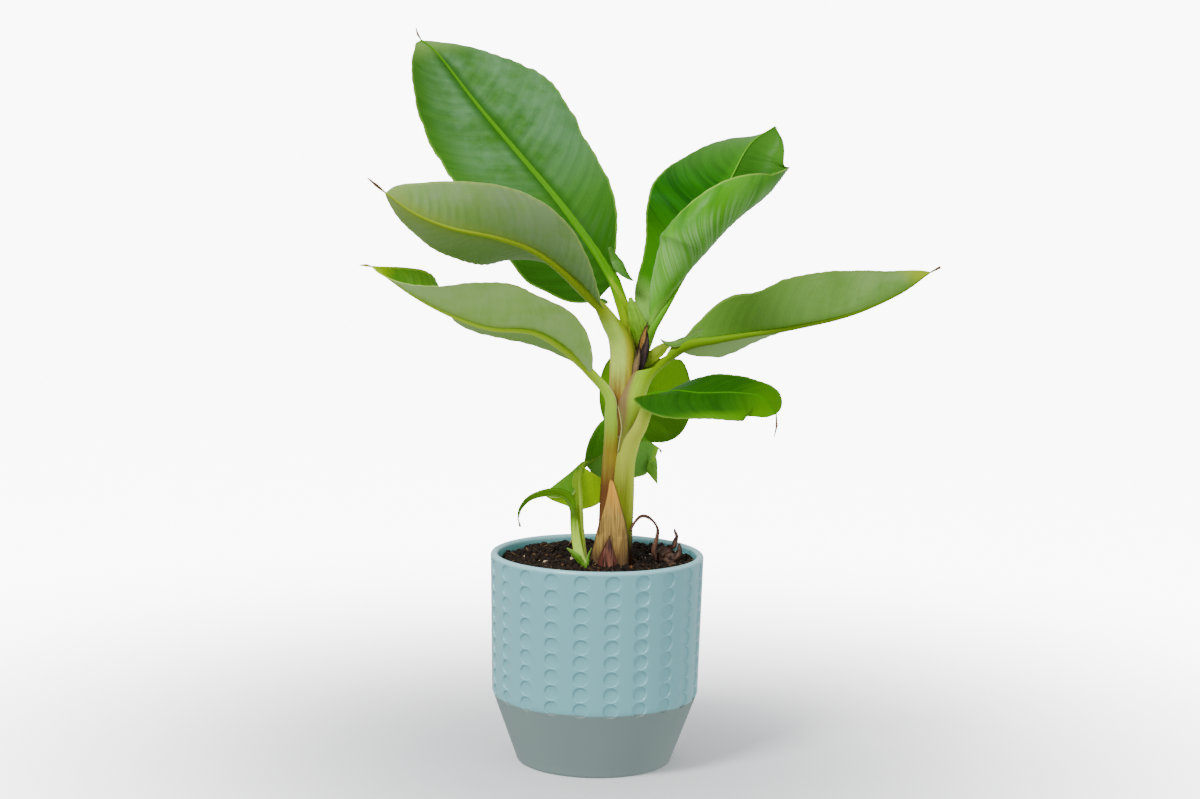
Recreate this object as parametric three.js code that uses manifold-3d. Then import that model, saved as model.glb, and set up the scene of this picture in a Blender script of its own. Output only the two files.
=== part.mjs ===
// A young banana plant in a round glazed pot. Millimetres and degrees, +Z up, the pot's foot at the
// origin.
// The leafy side of the plant faces -Y.
import * as THREE from 'three';
import { mergeVertices } from 'three/addons/utils/BufferGeometryUtils.js';
import Module from 'manifold-3d';

const wasm = await Module();
wasm.setup();

// Driving dimensions
const gap = 0.3; // clearance between neighbouring pieces
const pot = {
  height: 158,
  rimRadius: 80,
  kinkRadius: 77.6,
  kinkHeight: 53.5,
  footRadius: 58,
  footRound: 2.5,
  wall: 5.5,
  floor: 8,
  sides: 56,
};
const soilTop = 148;
const trunk = {
  spine: [[9.5, 0, 145], [12.5, 0, 170], [14.5, 0, 200], [16, 0, 236], [17.5, 0, 275], [18, 0, 318]],
  wide: [15, 11.8, 10, 10, 10.2, 10.4],
  deep: [14.5, 11.8, 10, 10, 10.2, 10.4],
  azimuth: 0,
  steps: 14,
  sides: 20,
};

// A leaf's blade: its midrib, the way it points, its roll about the midrib, and for each half the greatest
// width, where along the leaf that lies, how full its base and tip are, and how it folds and curls upwards.
const blades = {
  leaf_1: {
    rib: [
      [9, 16, 361], [-9, 38, 387], [-36, 60, 420], [-66, 80, 453], [-101, 100, 492], [-132, 116, 529],
      [-146, 122, 540],
    ],
    tail: [[-148.5, 123, 545], [-150, 124, 550]],
    azimuth: 140,
    roll: [80, 37, 38, 0],
    thickness: 2.8,
    stalk: 5.5,
    left: { width: 62, widest: 0.45, base: 2.7, tip: 2, fold: [-15, 13, 0], curl: [0] },
    right: { width: 66, widest: 0.7, base: 1.4, tip: 2.1, fold: [18, -2, -4], curl: [7, -13, -2] },
    steps: 16,
    strips: 6,
  },
  leaf_2: {
    rib: [
      [-1, -18, 344], [-23, -38, 367], [-48, -58, 386], [-74, -76, 396], [-106, -96, 403], [-130, -110, 413],
      [-149, -120, 427],
    ],
    tail: [[-155, -122, 432], [-161, -124, 437]],
    azimuth: 215,
    roll: [2, -19, -40, -45],
    thickness: 2.3,
    stalk: 5,
    left: { width: 42, widest: 0.47, base: 1.3, tip: 1.8, fold: [-7, 13, 35], curl: [-3, 5, 18] },
    right: { width: 39, widest: 0.32, base: 2, tip: 1.4, fold: [54, -4, 22], curl: [0] },
    steps: 14,
    strips: 5,
  },
  leaf_3: {
    rib: [
      [-11, -26, 300], [-28, -40, 317], [-50, -56, 329], [-79, -74, 332], [-104, -88, 341], [-130, -100, 355],
      [-159, -112, 376],
    ],
    tail: [[-163, -113, 377], [-167, -114, 377]],
    azimuth: 215,
    roll: [-1, -15, -13, 14],
    thickness: 2.2,
    stalk: 3.8,
    left: { width: 54, widest: 0.55, base: 2, tip: 1.9, fold: [-18, 13, -5], curl: [-9, 9, -2] },
    right: { width: 52, widest: 0.48, base: 1.1, tip: 1.1, fold: [-15, 19, 97], curl: [-6, -1, 26] },
    steps: 14,
    strips: 5,
  },
  leaf_4: {
    rib: [
      [37, 6, 326], [48, 10, 345], [67, 18, 376], [81, 26, 411], [96, 43, 439], [110, 52, 464],
      [129, 56, 478],
    ],
    tail: [[131, 56, 476]],
    azimuth: 35,
    roll: [25, 18, -8, 14],
    thickness: 2.1,
    stalk: 4.6,
    left: { width: 60, widest: 0.68, base: 2, tip: 2.3, fold: [31, 18, -10], curl: [24, 13, -9] },
    right: { width: 78, widest: 0.35, base: 1.1, tip: 2, fold: [39, -54, -93], curl: [150, 250, 180, 61] },
    steps: 16,
    strips: 8,
  },
  leaf_5: {
    rib: [
      [57, -12, 313], [71, -20, 320], [102, -34, 327], [137, -48, 334], [177, -62, 345], [210, -72, 361],
      [231, -78, 377],
    ],
    tail: [[238, -79, 381]],
    azimuth: -25,
    roll: [49, 25, 44, 28],
    thickness: 2.2,
    stalk: 4.6,
    left: { width: 43, widest: 0.18, base: 2.1, tip: 1.4, fold: [13, 21, 49, 68], curl: [11, -5, 19] },
    right: { width: 57, widest: 0.52, base: 1.1, tip: 1.4, fold: [60, 1, 5], curl: [37, 3, 6] },
    steps: 14,
    strips: 5,
  },
  leaf_6: {
    rib: [[38, -34, 281], [54, -44, 286], [72, -56, 286], [96, -68, 288], [115, -76, 286], [125, -82, 275]],
    tail: [[125.5, -83, 266], [124, -83.5, 259]],
    azimuth: -35,
    roll: [15, -7, -6, -5],
    thickness: 1.8,
    stalk: 3.6,
    left: { width: 26, widest: 0.48, base: 2.3, tip: 2, fold: [13, 18, 6], curl: [0] },
    right: { width: 43, widest: 0.25, base: 2.1, tip: 1.8, fold: [-12, -15, -43], curl: [0] },
    steps: 12,
    strips: 4,
  },
  leaf_7: {
    rib: [[26, 24, 286], [31, 42, 297], [34, 62, 296], [35, 80, 280], [35, 92, 254], [34, 98, 228]],
    tail: [[34, 98.5, 224]],
    azimuth: 88,
    roll: [0],
    thickness: 1.8,
    stalk: 3.4,
    left: { width: 36, widest: 0.62, base: 1.5, tip: 2.6, fold: [10, 0], curl: [-10] },
    right: { width: 37, widest: 0.66, base: 1.5, tip: 2.8, fold: [10, 0], curl: [-10] },
    steps: 12,
    strips: 4,
  },
  sucker_leaf_1: {
    rib: [[-15, 8, 223], [-20, 7.5, 218], [-28, 6, 211.5], [-35, 4, 206], [-41, 3, 200]],
    tail: [],
    azimuth: 190,
    roll: [0],
    thickness: 1.5,
    stalk: 2.4,
    left: { width: 15, widest: 0.4, base: 2, tip: 1.6, fold: [-50, -35], curl: [-30] },
    right: { width: 33, widest: 0.3, base: 2.4, tip: 1.6, lobe: 16, fold: [-70, -70], curl: [-15] },
    steps: 10,
    strips: 4,
  },
  sucker_leaf_2: {
    rib: [[-6, 21, 224], [4, 28, 229], [21, 40, 235], [37, 50, 229], [43, 53, 211]],
    tail: [[43.5, 53, 205], [45, 53, 197]],
    azimuth: 42,
    roll: [-30, -25, 0],
    thickness: 1.5,
    stalk: 2.4,
    left: { width: 28, widest: 0.62, base: 1.5, tip: 2.6, fold: [50, 30, 10], curl: [0] },
    right: { width: 23, widest: 0.45, base: 1.6, tip: 2, fold: [0, -15], curl: [0] },
    steps: 10,
    strips: 4,
  },
  sucker_leaf_3: {
    rib: [
      [-18.5, -12, 191], [-22, -14, 199.3], [-30, -15, 203], [-40, -16, 202.7], [-50.5, -16, 199],
      [-57, -16, 192], [-59, -16, 185],
    ],
    tail: [[-57.7, -16, 179]],
    azimuth: 180,
    roll: [0],
    thickness: 1.4,
    stalk: 2,
    left: { width: 6, widest: 0.3, base: 2, tip: 1.4, fold: [40], curl: [20] },
    right: { width: 6, widest: 0.3, base: 2, tip: 1.4, fold: [40], curl: [20] },
    steps: 12,
    strips: 2,
  },
};

const keelShare = 0.2; // how far out from the midrib the keel under a blade reaches, as a share of its width
const keelDepth = 0.6; // how far the keel stands out at the blade's base, as a share of the thickness
const tailShare = 0.4; // half-width of the thread at a blade's tip, as a share of the thickness
const tailTaper = 0.4; // how much of its size that thread loses to its end

// A limb tapers along its spine: half-widths across and in depth. It is cut clear of the pieces in `clears`.
const limbs = {
  petiole_1: {
    spine: [[20.5, 3.5, 318 + gap], [18, 8, 335], [9.3, 15.6, 360.6]],
    wide: [5, 4.8, 4.4],
    deep: [5, 4.6, 4.2],
    azimuth: 140,
    clears: [],
  },
  petiole_2: {
    spine: [[12.6, -3.5, 318 + gap], [7.5, -9, 330], [-0.8, -17.8, 343.7]],
    wide: [5.6, 5, 4.2],
    deep: [5.4, 4.8, 4],
    azimuth: 215,
    clears: ['petiole_1'],
  },
  petiole_3: {
    spine: [
      [9, -1, 145], [9.5, -2.5, 200], [10, -4, 240], [9, -7, 262], [6.5, -11.5, 279], [-10.7, -25.8, 299.7],
    ],
    wide: [8.5, 8, 8, 6.5, 4.4, 3.6],
    deep: [10, 9, 8, 6.5, 4.4, 3.6],
    azimuth: 215,
    clears: [],
  },
  petiole_6: {
    spine: [
      [16, -3, 145], [17, -3.5, 200], [18.6, -4.5, 226], [23.8, -10, 245], [30, -18, 257],
      [37.8, -33.8, 280.7],
    ],
    wide: [10.5, 9.8, 9.6, 8, 5.6, 3.6],
    deep: [10.5, 9.8, 9.6, 8, 5.6, 3.6],
    azimuth: -42,
    clears: ['petiole_3'],
  },
  petiole_5: {
    spine: [
      [20, -3, 246], [22, -4.5, 262], [23.5, -5, 276], [31, -7, 292], [43, -9.5, 303], [56.7, -11.9, 312.8],
    ],
    wide: [10.5, 11, 10.8, 8.4, 5.4, 4.2],
    deep: [10.5, 11, 10.8, 8.4, 5.4, 4.2],
    azimuth: -15,
    clears: ['petiole_3', 'petiole_6'],
  },
  petiole_4: {
    spine: [[27, 5, 296], [30, 5.5, 308], [36.8, 6, 325.6]],
    wide: [6, 5.4, 4.2],
    deep: [6, 5.4, 4.2],
    azimuth: 15,
    clears: ['petiole_5'],
  },
  petiole_7: {
    spine: [[19, 7, 240], [20, 9, 258], [22, 14, 273], [25.9, 23.8, 285.7]],
    wide: [7, 6.5, 5, 3.2],
    deep: [6, 5.6, 4.6, 3.2],
    azimuth: 80,
    clears: ['petiole_5'],
  },
  dead_bract: {
    spine: [[29, -5, 303], [31.5, -5, 314], [33, -4.5, 328]],
    wide: [4, 3.6, 1.4],
    deep: [3.4, 3, 1.2],
    azimuth: -20,
    clears: ['petiole_5', 'petiole_4'],
  },
  old_sheath: {
    spine: [[9.5, -5, 145], [11.5, -5, 165], [12, -5.5, 182], [12.2, -8, 198], [11.5, -11.5, 213]],
    wide: [15.5, 11.5, 10.2, 6.5, 1.2],
    deep: [13, 10.6, 9.4, 6.5, 1.2],
    azimuth: -90,
    clears: ['petiole_3', 'petiole_6'],
  },
  sucker_stem: {
    spine: [[-8, -9, 145], [-12.8, -9, 158.6], [-17, -8.5, 181.9], [-18.4, -11.8, 190.7]],
    wide: [4.6, 4.4, 4.2, 2.6],
    deep: [4.6, 4.6, 4.2, 2.6],
    azimuth: 190,
    clears: ['old_sheath', 'petiole_3'],
  },
  sucker_petiole: {
    spine: [
      [-9, 3, 145], [-11.2, 3, 164.7], [-13, 4, 180], [-15.2, 5, 195], [-16.5, 8, 211], [-12.5, 14, 221],
      [-6.4, 20.6, 223.8],
    ],
    wide: [3, 2.6, 2.8, 3.4, 3.4, 2.8, 2.2],
    deep: [3, 2.6, 2.8, 3.2, 3, 2.8, 2.2],
    azimuth: 60,
    clears: ['sucker_stem', 'petiole_3', 'old_sheath'],
  },
  withered_leaf: {
    spine: [
      [24.5, -8, 177], [31.5, -6, 183], [36, -4, 183.6], [41.5, -2, 180], [45.5, 1, 170], [47.5, 4, 158],
      [53.5, 6, 153.8], [59, 8, 153.6], [62.2, 10, 171],
    ],
    wide: [1.5, 1.6, 1.4, 1.2, 1.5, 3, 5.4, 4.6, 1],
    deep: [1.2, 1, 1, 1, 1.4, 3, 5.4, 4.6, 1],
    azimuth: 25,
    clears: ['petiole_6', 'old_sheath'],
  },
};
const sprouts = [
  { spine: [[-8.5, -16, 145], [-14.5, -17.5, 156], [-21.7, -19, 163.3]], wide: [2, 3.2, 0.8], azimuth: 180 },
  { spine: [[-8, -16, 145], [-6, -17, 157.9], [-4, -18, 166.5]], wide: [2, 2.6, 0.8], azimuth: 0 },
];
const sproutDepth = [1.6, 1.1, 0.7];
const limbSides = 12;
const limbStepLength = 9;
const fewestSteps = 3;

const toRad = THREE.MathUtils.degToRad;

// The smooth value at u, from 0 to 1, through evenly spaced stops.
function along(stops, u) {
  if (stops.length === 1) return stops[0];
  const x = u * (stops.length - 1);
  const k = Math.min(Math.floor(x), stops.length - 2);
  const f = x - k;
  const b = stops[k];
  const c = stops[k + 1];
  const a = k > 0 ? stops[k - 1] : 2 * b - c;
  const d = k + 2 < stops.length ? stops[k + 2] : 2 * c - b;
  const square = 2 * a - 5 * b + 4 * c - d;
  const cube = 3 * b - a - 3 * c + d;
  return 0.5 * (2 * b + (c - a) * f + square * f ** 2 + cube * f ** 3);
}

function smoothCurve(points) {
  return new THREE.CatmullRomCurve3(points.map((p) => new THREE.Vector3(...p)), false, 'catmullrom', 0.5);
}

// Points along a spine at equal steps, each with its tangent, its level side and the normal to both.
function stationsAlong(points, azimuth, steps) {
  const curve = smoothCurve(points);
  const heading = toRad(azimuth);
  const level = new THREE.Vector3(Math.sin(heading), -Math.cos(heading), 0);
  return Array.from({ length: steps + 1 }, (_, i) => {
    const u = i / steps;
    const tangent = curve.getTangentAt(u);
    const side = level.clone().addScaledVector(tangent, -level.dot(tangent)).normalize();
    return { u, point: curve.getPointAt(u), tangent, side, normal: side.clone().cross(tangent) };
  });
}

// A closed skin over a row of rings that all have the same even number of points.
function loft(rings) {
  const count = rings[0].length;
  const positions = rings.flatMap((ring) => ring.flatMap((p) => [p.x, p.y, p.z]));
  const faces = [];
  for (let i = 0; i < rings.length - 1; i++) {
    for (let j = 0; j < count; j++) {
      const a = i * count + j;
      const b = i * count + ((j + 1) % count);
      faces.push(a, b, b + count, a, b + count, a + count);
    }
  }
  const last = (rings.length - 1) * count;
  for (let j = 0; j < count / 2 - 1; j++) {
    const k = count - 1 - j;
    faces.push(j, k, k - 1, j, k - 1, j + 1);
    faces.push(last + j, last + k - 1, last + k, last + j, last + j + 1, last + k - 1);
  }
  const geometry = new THREE.BufferGeometry();
  geometry.setAttribute('position', new THREE.Float32BufferAttribute(positions, 3));
  geometry.setIndex(faces);
  return facingOut(geometry);
}

// The same skin with every face turned outwards.
function facingOut(geometry) {
  const position = geometry.getAttribute('position');
  const index = geometry.getIndex();
  const [a, b, c] = [new THREE.Vector3(), new THREE.Vector3(), new THREE.Vector3()];
  let volume = 0;
  for (let i = 0; i < index.count; i += 3) {
    a.fromBufferAttribute(position, index.getX(i));
    b.fromBufferAttribute(position, index.getX(i + 1));
    c.fromBufferAttribute(position, index.getX(i + 2));
    volume += a.dot(b.cross(c));
  }
  if (volume < 0) geometry.setIndex(Array.from(index.array).reverse());
  return geometry;
}

// How wide half a blade is at u, as a share of its greatest width.
function outline(half, u) {
  if (u < half.widest) return (1 - (1 - u / half.widest) ** half.base) ** (1 / half.base);
  return (1 - ((u - half.widest) / (1 - half.widest)) ** half.tip) ** (1 / half.tip);
}

// A point of the blade's middle surface, `share` of the way from the midrib to the margin, and its normal.
function bladePoint(station, half, hand, width, share) {
  const fold = toRad(along(half.fold, station.u));
  const curl = toRad(along(half.curl, station.u)) || 1e-3;
  const turn = fold + curl * share;
  const out = (width * (Math.sin(turn) - Math.sin(fold))) / curl;
  const up = (width * (Math.cos(fold) - Math.cos(turn))) / curl;
  const point = station.point.clone();
  point.addScaledVector(station.side, hand * out).addScaledVector(station.normal, up);
  point.addScaledVector(station.tangent, -(half.lobe ?? 0) * (share * (1 - station.u)) ** 2);
  const normal = station.normal.clone().multiplyScalar(Math.cos(turn));
  normal.addScaledVector(station.side, -hand * Math.sin(turn));
  return { point, normal };
}

// The ring round a blade's section: its upper face from left to right, then its lower face back.
function bladeRing(blade, station, shareOfWidth) {
  const { thickness } = blade;
  const stalk = THREE.MathUtils.lerp(blade.stalk, thickness * tailShare, Math.min(1, 2 * station.u));
  const middle = Array.from({ length: 2 * blade.strips + 1 }, (_, i) => {
    const j = i - blade.strips;
    const half = j < 0 ? blade.left : blade.right;
    const width = Math.hypot(half.width * outline(half, station.u) * shareOfWidth, stalk);
    const share = Math.abs(j) / blade.strips;
    return { share, ...bladePoint(station, half, Math.sign(j), width, share) };
  });
  const keel = (share) => thickness * keelDepth * Math.max(0, 1 - share / keelShare) * (1 - station.u);
  const upper = middle.map((m) => m.point.clone().addScaledVector(m.normal, thickness / 2));
  const lower = middle.map((m) => m.point.clone().addScaledVector(m.normal, -thickness / 2 - keel(m.share)));
  return [...upper, ...lower.reverse()];
}

function bladeGeometry(blade) {
  const stations = stationsAlong(blade.rib, blade.azimuth, blade.steps);
  for (const station of stations) {
    const roll = toRad(along(blade.roll, station.u));
    const { side, normal } = station;
    station.side = side.clone().multiplyScalar(Math.cos(roll)).addScaledVector(normal, Math.sin(roll));
    station.normal = normal.clone().multiplyScalar(Math.cos(roll)).addScaledVector(side, -Math.sin(roll));
  }
  const rings = stations.map((station) => bladeRing(blade, station, 1));
  const end = stations.at(-1);
  for (const [i, place] of blade.tail.entries()) {
    const shrink = 1 - (tailTaper * (i + 1)) / blade.tail.length;
    const station = { ...end, point: new THREE.Vector3(...place) };
    const ring = bladeRing(blade, station, 0);
    rings.push(ring.map((p) => p.sub(station.point).multiplyScalar(shrink).add(station.point)));
  }
  return loft(rings);
}

// A limb, or the same limb grown by `grow` all round, to cut its neighbours clear of it.
function limbGeometry(limb, grow = 0) {
  const length = smoothCurve(limb.spine).getLength();
  const steps = limb.steps ?? Math.max(fewestSteps, Math.round(length / limbStepLength));
  const sides = limb.sides ?? limbSides;
  const stations = stationsAlong(limb.spine, limb.azimuth, steps);
  if (grow > 0) {
    for (const [station, way] of [[stations[0], -1], [stations.at(-1), 1]]) {
      station.point.addScaledVector(station.tangent, way * grow);
    }
  }
  return loft(stations.map((station) => {
    const wide = along(limb.wide, station.u) + grow;
    const deep = along(limb.deep, station.u) + grow;
    return Array.from({ length: sides }, (_, j) => {
      const angle = (2 * Math.PI * (j + 0.5)) / sides;
      return station.point.clone()
        .addScaledVector(station.side, wide * Math.cos(angle))
        .addScaledVector(station.normal, deep * Math.sin(angle));
    });
  }));
}

function toSolid(geometry) {
  const bare = geometry.clone();
  bare.deleteAttribute('normal');
  bare.deleteAttribute('uv');
  const merged = mergeVertices(bare);
  return new wasm.Manifold(new wasm.Mesh({
    numProp: 3,
    vertProperties: new Float32Array(merged.getAttribute('position').array),
    triVerts: new Uint32Array(merged.getIndex().array),
  }));
}

function toGeometry(solid) {
  const mesh = solid.getMesh();
  const geometry = new THREE.BufferGeometry();
  geometry.setAttribute('position', new THREE.Float32BufferAttribute(mesh.vertProperties, 3));
  geometry.setIndex(Array.from(mesh.triVerts));
  return geometry;
}

// What is left of a solid above the soil and outside its neighbours: the largest piece.
function cutClear(solid, neighbours) {
  const grown = solid.trimByPlane([0, 0, 1], soilTop + gap);
  const rest = neighbours.reduce((body, neighbour) => body.subtract(neighbour), grown);
  return rest.decompose().sort((a, b) => b.volume() - a.volume())[0];
}

// The outer wall from the foot to the rim, with the sharp turn between the cone and the straight part.
function potProfile(inset, bottom, top) {
  const cone = (pot.kinkRadius - pot.footRadius) / pot.kinkHeight;
  const flare = (pot.rimRadius - pot.kinkRadius) / (pot.height - pot.kinkHeight);
  const radiusAt = (z) => pot.kinkRadius + (z - pot.kinkHeight) * (z < pot.kinkHeight ? cone : flare);
  return [bottom, pot.kinkHeight, top].map((z) => new THREE.Vector2(radiusAt(z) - inset, z));
}

// A profile of radius and height turned about the upright axis.
function turned(profile) {
  const geometry = new THREE.LatheGeometry(profile, pot.sides).rotateX(Math.PI / 2);
  return facingOut(mergeVertices(bareOf(geometry)));
}

function bareOf(geometry) {
  geometry.deleteAttribute('normal');
  geometry.deleteAttribute('uv');
  return geometry;
}

function potGeometry() {
  const lip = pot.wall / 2;
  const outer = potProfile(0, pot.footRound, pot.height - lip);
  const inner = potProfile(pot.wall, pot.floor, pot.height - lip).reverse();
  const lipArc = [45, 90, 135].map((angle) => new THREE.Vector2(
    pot.rimRadius - lip + lip * Math.cos(toRad(angle)),
    pot.height - lip + lip * Math.sin(toRad(angle)),
  ));
  return turned([
    new THREE.Vector2(0, 0),
    new THREE.Vector2(pot.footRadius - pot.footRound, 0),
    ...outer,
    ...lipArc,
    ...inner,
    new THREE.Vector2(0, pot.floor),
  ]);
}

function soilGeometry() {
  const wall = potProfile(pot.wall + gap, pot.floor + gap, soilTop);
  return turned([new THREE.Vector2(0, pot.floor + gap), ...wall, new THREE.Vector2(0, soilTop)]);
}

const looks = {
  glaze: { color: '#97bcc4', roughness: 0.25 },
  soil: { color: '#3a2a20', roughness: 0.95 },
  stem: { color: '#9fae4e', roughness: 0.5 },
  leaf: { color: '#3f7a2c', roughness: 0.4 },
  young_leaf: { color: '#5fae1e', roughness: 0.35 },
  dry: { color: '#7a5a3c', roughness: 0.85 },
};

const plant = new THREE.Group();

function add(name, geometry, look) {
  const mesh = new THREE.Mesh(geometry, new THREE.MeshStandardMaterial({ metalness: 0, ...looks[look] }));
  mesh.name = name;
  plant.add(mesh);
}

add('pot', potGeometry(), 'glaze');
add('soil', soilGeometry(), 'soil');
add('trunk', toGeometry(cutClear(toSolid(limbGeometry(trunk)), [])), 'stem');

const dryLimbs = ['dead_bract', 'old_sheath', 'withered_leaf'];
const trunkGrown = toSolid(limbGeometry(trunk, gap));
const limbsGrown = {};
for (const [name, limb] of Object.entries(limbs)) limbsGrown[name] = toSolid(limbGeometry(limb, gap));

for (const [name, limb] of Object.entries(limbs)) {
  const neighbours = limb.clears.map((other) => limbsGrown[other]);
  const body = cutClear(toSolid(limbGeometry(limb)), [trunkGrown, ...neighbours]);
  add(name, toGeometry(body), dryLimbs.includes(name) ? 'dry' : 'stem');
}

for (const [name, blade] of Object.entries(blades)) {
  const body = cutClear(toSolid(bladeGeometry(blade)), [trunkGrown, ...Object.values(limbsGrown)]);
  add(name, toGeometry(body), name.startsWith('sucker') ? 'young_leaf' : 'leaf');
}

const leaflets = sprouts.map((leaflet) => toSolid(limbGeometry({ ...leaflet, deep: sproutDepth })));
add('sprout', toGeometry(cutClear(leaflets[0].add(leaflets[1]), [])), 'young_leaf');

export default plant;
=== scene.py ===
# A young banana plant in a glazed pot: its looks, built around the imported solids. Metres, +Z up.
# Sizes in the dictionaries are millimetres and degrees, in the same frame.
import math
import bmesh
import bpy
import numpy as np
from mathutils import Matrix, Vector, noise


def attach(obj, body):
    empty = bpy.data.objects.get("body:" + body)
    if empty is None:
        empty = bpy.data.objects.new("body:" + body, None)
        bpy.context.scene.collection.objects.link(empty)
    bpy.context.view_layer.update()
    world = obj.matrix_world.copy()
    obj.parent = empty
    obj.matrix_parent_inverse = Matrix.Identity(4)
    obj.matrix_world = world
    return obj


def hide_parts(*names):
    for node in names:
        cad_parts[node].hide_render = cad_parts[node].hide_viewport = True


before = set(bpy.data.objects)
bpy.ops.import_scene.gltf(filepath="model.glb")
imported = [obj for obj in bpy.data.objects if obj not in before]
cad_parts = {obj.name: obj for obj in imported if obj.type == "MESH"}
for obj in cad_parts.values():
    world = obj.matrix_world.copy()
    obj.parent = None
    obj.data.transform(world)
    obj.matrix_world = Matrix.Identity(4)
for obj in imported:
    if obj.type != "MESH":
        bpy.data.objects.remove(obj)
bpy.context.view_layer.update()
mm = 0.001


# Colours and nodes
def linear(hexColour):
    parts = [int(hexColour[i:i + 2], 16) / 255 for i in (1, 3, 5)]
    return (*[c / 12.92 if c <= 0.04045 else ((c + 0.055) / 1.055) ** 2.4 for c in parts], 1.0)


def addNode(tree, kind, inputs=None, **settings):
    item = tree.nodes.new(kind)
    for key, value in settings.items():
        setattr(item, key, value)
    for key, value in (inputs or {}).items():
        if isinstance(value, bpy.types.NodeSocket):
            tree.links.new(value, item.inputs[key])
        else:
            item.inputs[key].default_value = value
    return item


def newMaterial(name, roughness, shine, **sockets):
    material = bpy.data.materials.new(name)
    material.use_nodes = True
    skin = material.node_tree.nodes["Principled BSDF"]
    for key, value in {"Roughness": roughness, "Specular IOR Level": shine, **sockets}.items():
        skin.inputs[key].default_value = value
    return material, material.node_tree, skin


# Colours laid over one another, each with the mask that says where it covers
def layered(tree, colour, *layers):
    for over, mask in layers:
        over = linear(over) if isinstance(over, str) else over
        colour = addNode(tree, "ShaderNodeMix", {0: mask, 6: colour, 7: over}, data_type="RGBA").outputs[2]
    return colour


# A mask that is `amount` where the value is at `high` and 0 at `low`; the amount may be another mask
def masked(tree, value, low, high, amount=1.0):
    limits = {"Value": value, "From Min": low, "From Max": high, "To Min": 0.0, "To Max": amount}
    return addNode(tree, "ShaderNodeMapRange", limits, interpolation_type="SMOOTHSTEP").outputs["Result"]


def streaked(tree, coordinates, scale, detail=3.0, roughness=0.55):
    place = addNode(tree, "ShaderNodeMapping", {"Vector": coordinates, "Scale": scale})
    item = addNode(tree, "ShaderNodeTexNoise",
                   {"Vector": place.outputs[0], "Scale": 1.0, "Detail": detail, "Roughness": roughness})
    return item.outputs["Fac"]


# A vector whole and split: the place on the object, or what the mesh stores in its points by a name
def split(tree, name="place"):
    if name == "place":
        whole = addNode(tree, "ShaderNodeTexCoord").outputs["Object"]
    else:
        whole = addNode(tree, "ShaderNodeAttribute", attribute_name=name).outputs["Vector"]
    return whole, addNode(tree, "ShaderNodeSeparateXYZ", {0: whole}).outputs


# A skin's colour and its reliefs, coarser over finer: height, strength and distance
def dressed(tree, skin, colour, *reliefs):
    tree.links.new(colour, skin.inputs["Base Color"])
    normal = {}
    for height, strength, distance in reliefs:
        bump = addNode(tree, "ShaderNodeBump",
                       {"Height": height, "Strength": strength, "Distance": distance, **normal})
        normal = {"Normal": bump.outputs[0]}
    tree.links.new(normal["Normal"], skin.inputs["Normal"])


# Geometry Nodes: a new tree whose sizes are named inputs
def newTree(name, sizes):
    tree = bpy.data.node_groups.new(name, "GeometryNodeTree")
    for direction in ("INPUT", "OUTPUT"):
        tree.interface.new_socket("Geometry", in_out=direction, socket_type="NodeSocketGeometry")
    for key, value in sizes.items():
        kind = "NodeSocketInt" if isinstance(value, int) else "NodeSocketFloat"
        tree.interface.new_socket(key, in_out="INPUT", socket_type=kind)
    return tree, addNode(tree, "NodeGroupInput").outputs


# Real copies of an object on points
def copied(tree, source, points, **inputs):
    info = addNode(tree, "GeometryNodeObjectInfo", {"Object": source})
    inputs = {"Points": points, "Instance": info.outputs["Geometry"], **inputs}
    copies = addNode(tree, "GeometryNodeInstanceOnPoints", inputs)
    return addNode(tree, "GeometryNodeRealizeInstances", {"Geometry": copies.outputs[0]}).outputs[0]


# Objects and meshes
def newObject(name, data):
    item = bpy.data.objects.new(name, data)
    bpy.context.scene.collection.objects.link(item)
    return item


# The plain mesh that a tree makes of a holder, with its material set. The holder goes with its modifier
def treeMesh(holder, tree, sizes, geometry, material):
    painted = addNode(tree, "GeometryNodeSetMaterial", {"Geometry": geometry, "Material": material})
    addNode(tree, "NodeGroupOutput", {0: painted.outputs[0]})
    modifier = holder.modifiers.new(tree.name, "NODES")
    modifier.node_group = tree
    for socket in tree.interface.items_tree:
        if socket.in_out == "INPUT" and socket.name in sizes:
            modifier[socket.identifier] = sizes[socket.name]
    graph = bpy.context.evaluated_depsgraph_get()
    mesh = bpy.data.meshes.new_from_object(holder.evaluated_get(graph), depsgraph=graph)
    bpy.data.objects.remove(holder)
    return mesh


def meshPiece(name, points, faces, materials, faceMaterials=None, attributes=None, sharp=(), turn=True):
    mesh = bpy.data.meshes.new(name)
    mesh.from_pydata((np.asarray(points) * mm).tolist(), [], [list(f) for f in faces])
    for material in materials:
        mesh.materials.append(material)
    if faceMaterials is not None:
        mesh.polygons.foreach_set("material_index", np.asarray(faceMaterials, dtype=np.int32))
    for key, values in (attributes or {}).items():
        layer = mesh.attributes.new(key, "FLOAT_VECTOR", "POINT")
        layer.data.foreach_set("vector", np.asarray(values, dtype=np.float32).ravel())
    mesh.polygons.foreach_set("use_smooth", [True] * len(mesh.polygons))
    if turn:
        work = bmesh.new()
        work.from_mesh(mesh)
        bmesh.ops.recalc_face_normals(work, faces=work.faces)
        work.to_mesh(mesh)
        work.free()
    sharpSet = {tuple(sorted(pair)) for pair in sharp}
    for edge in mesh.edges if sharpSet else ():
        if tuple(sorted(edge.vertices)) in sharpSet:
            edge.use_edge_sharp = True
    mesh.update()
    return newObject(name, mesh)


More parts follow.
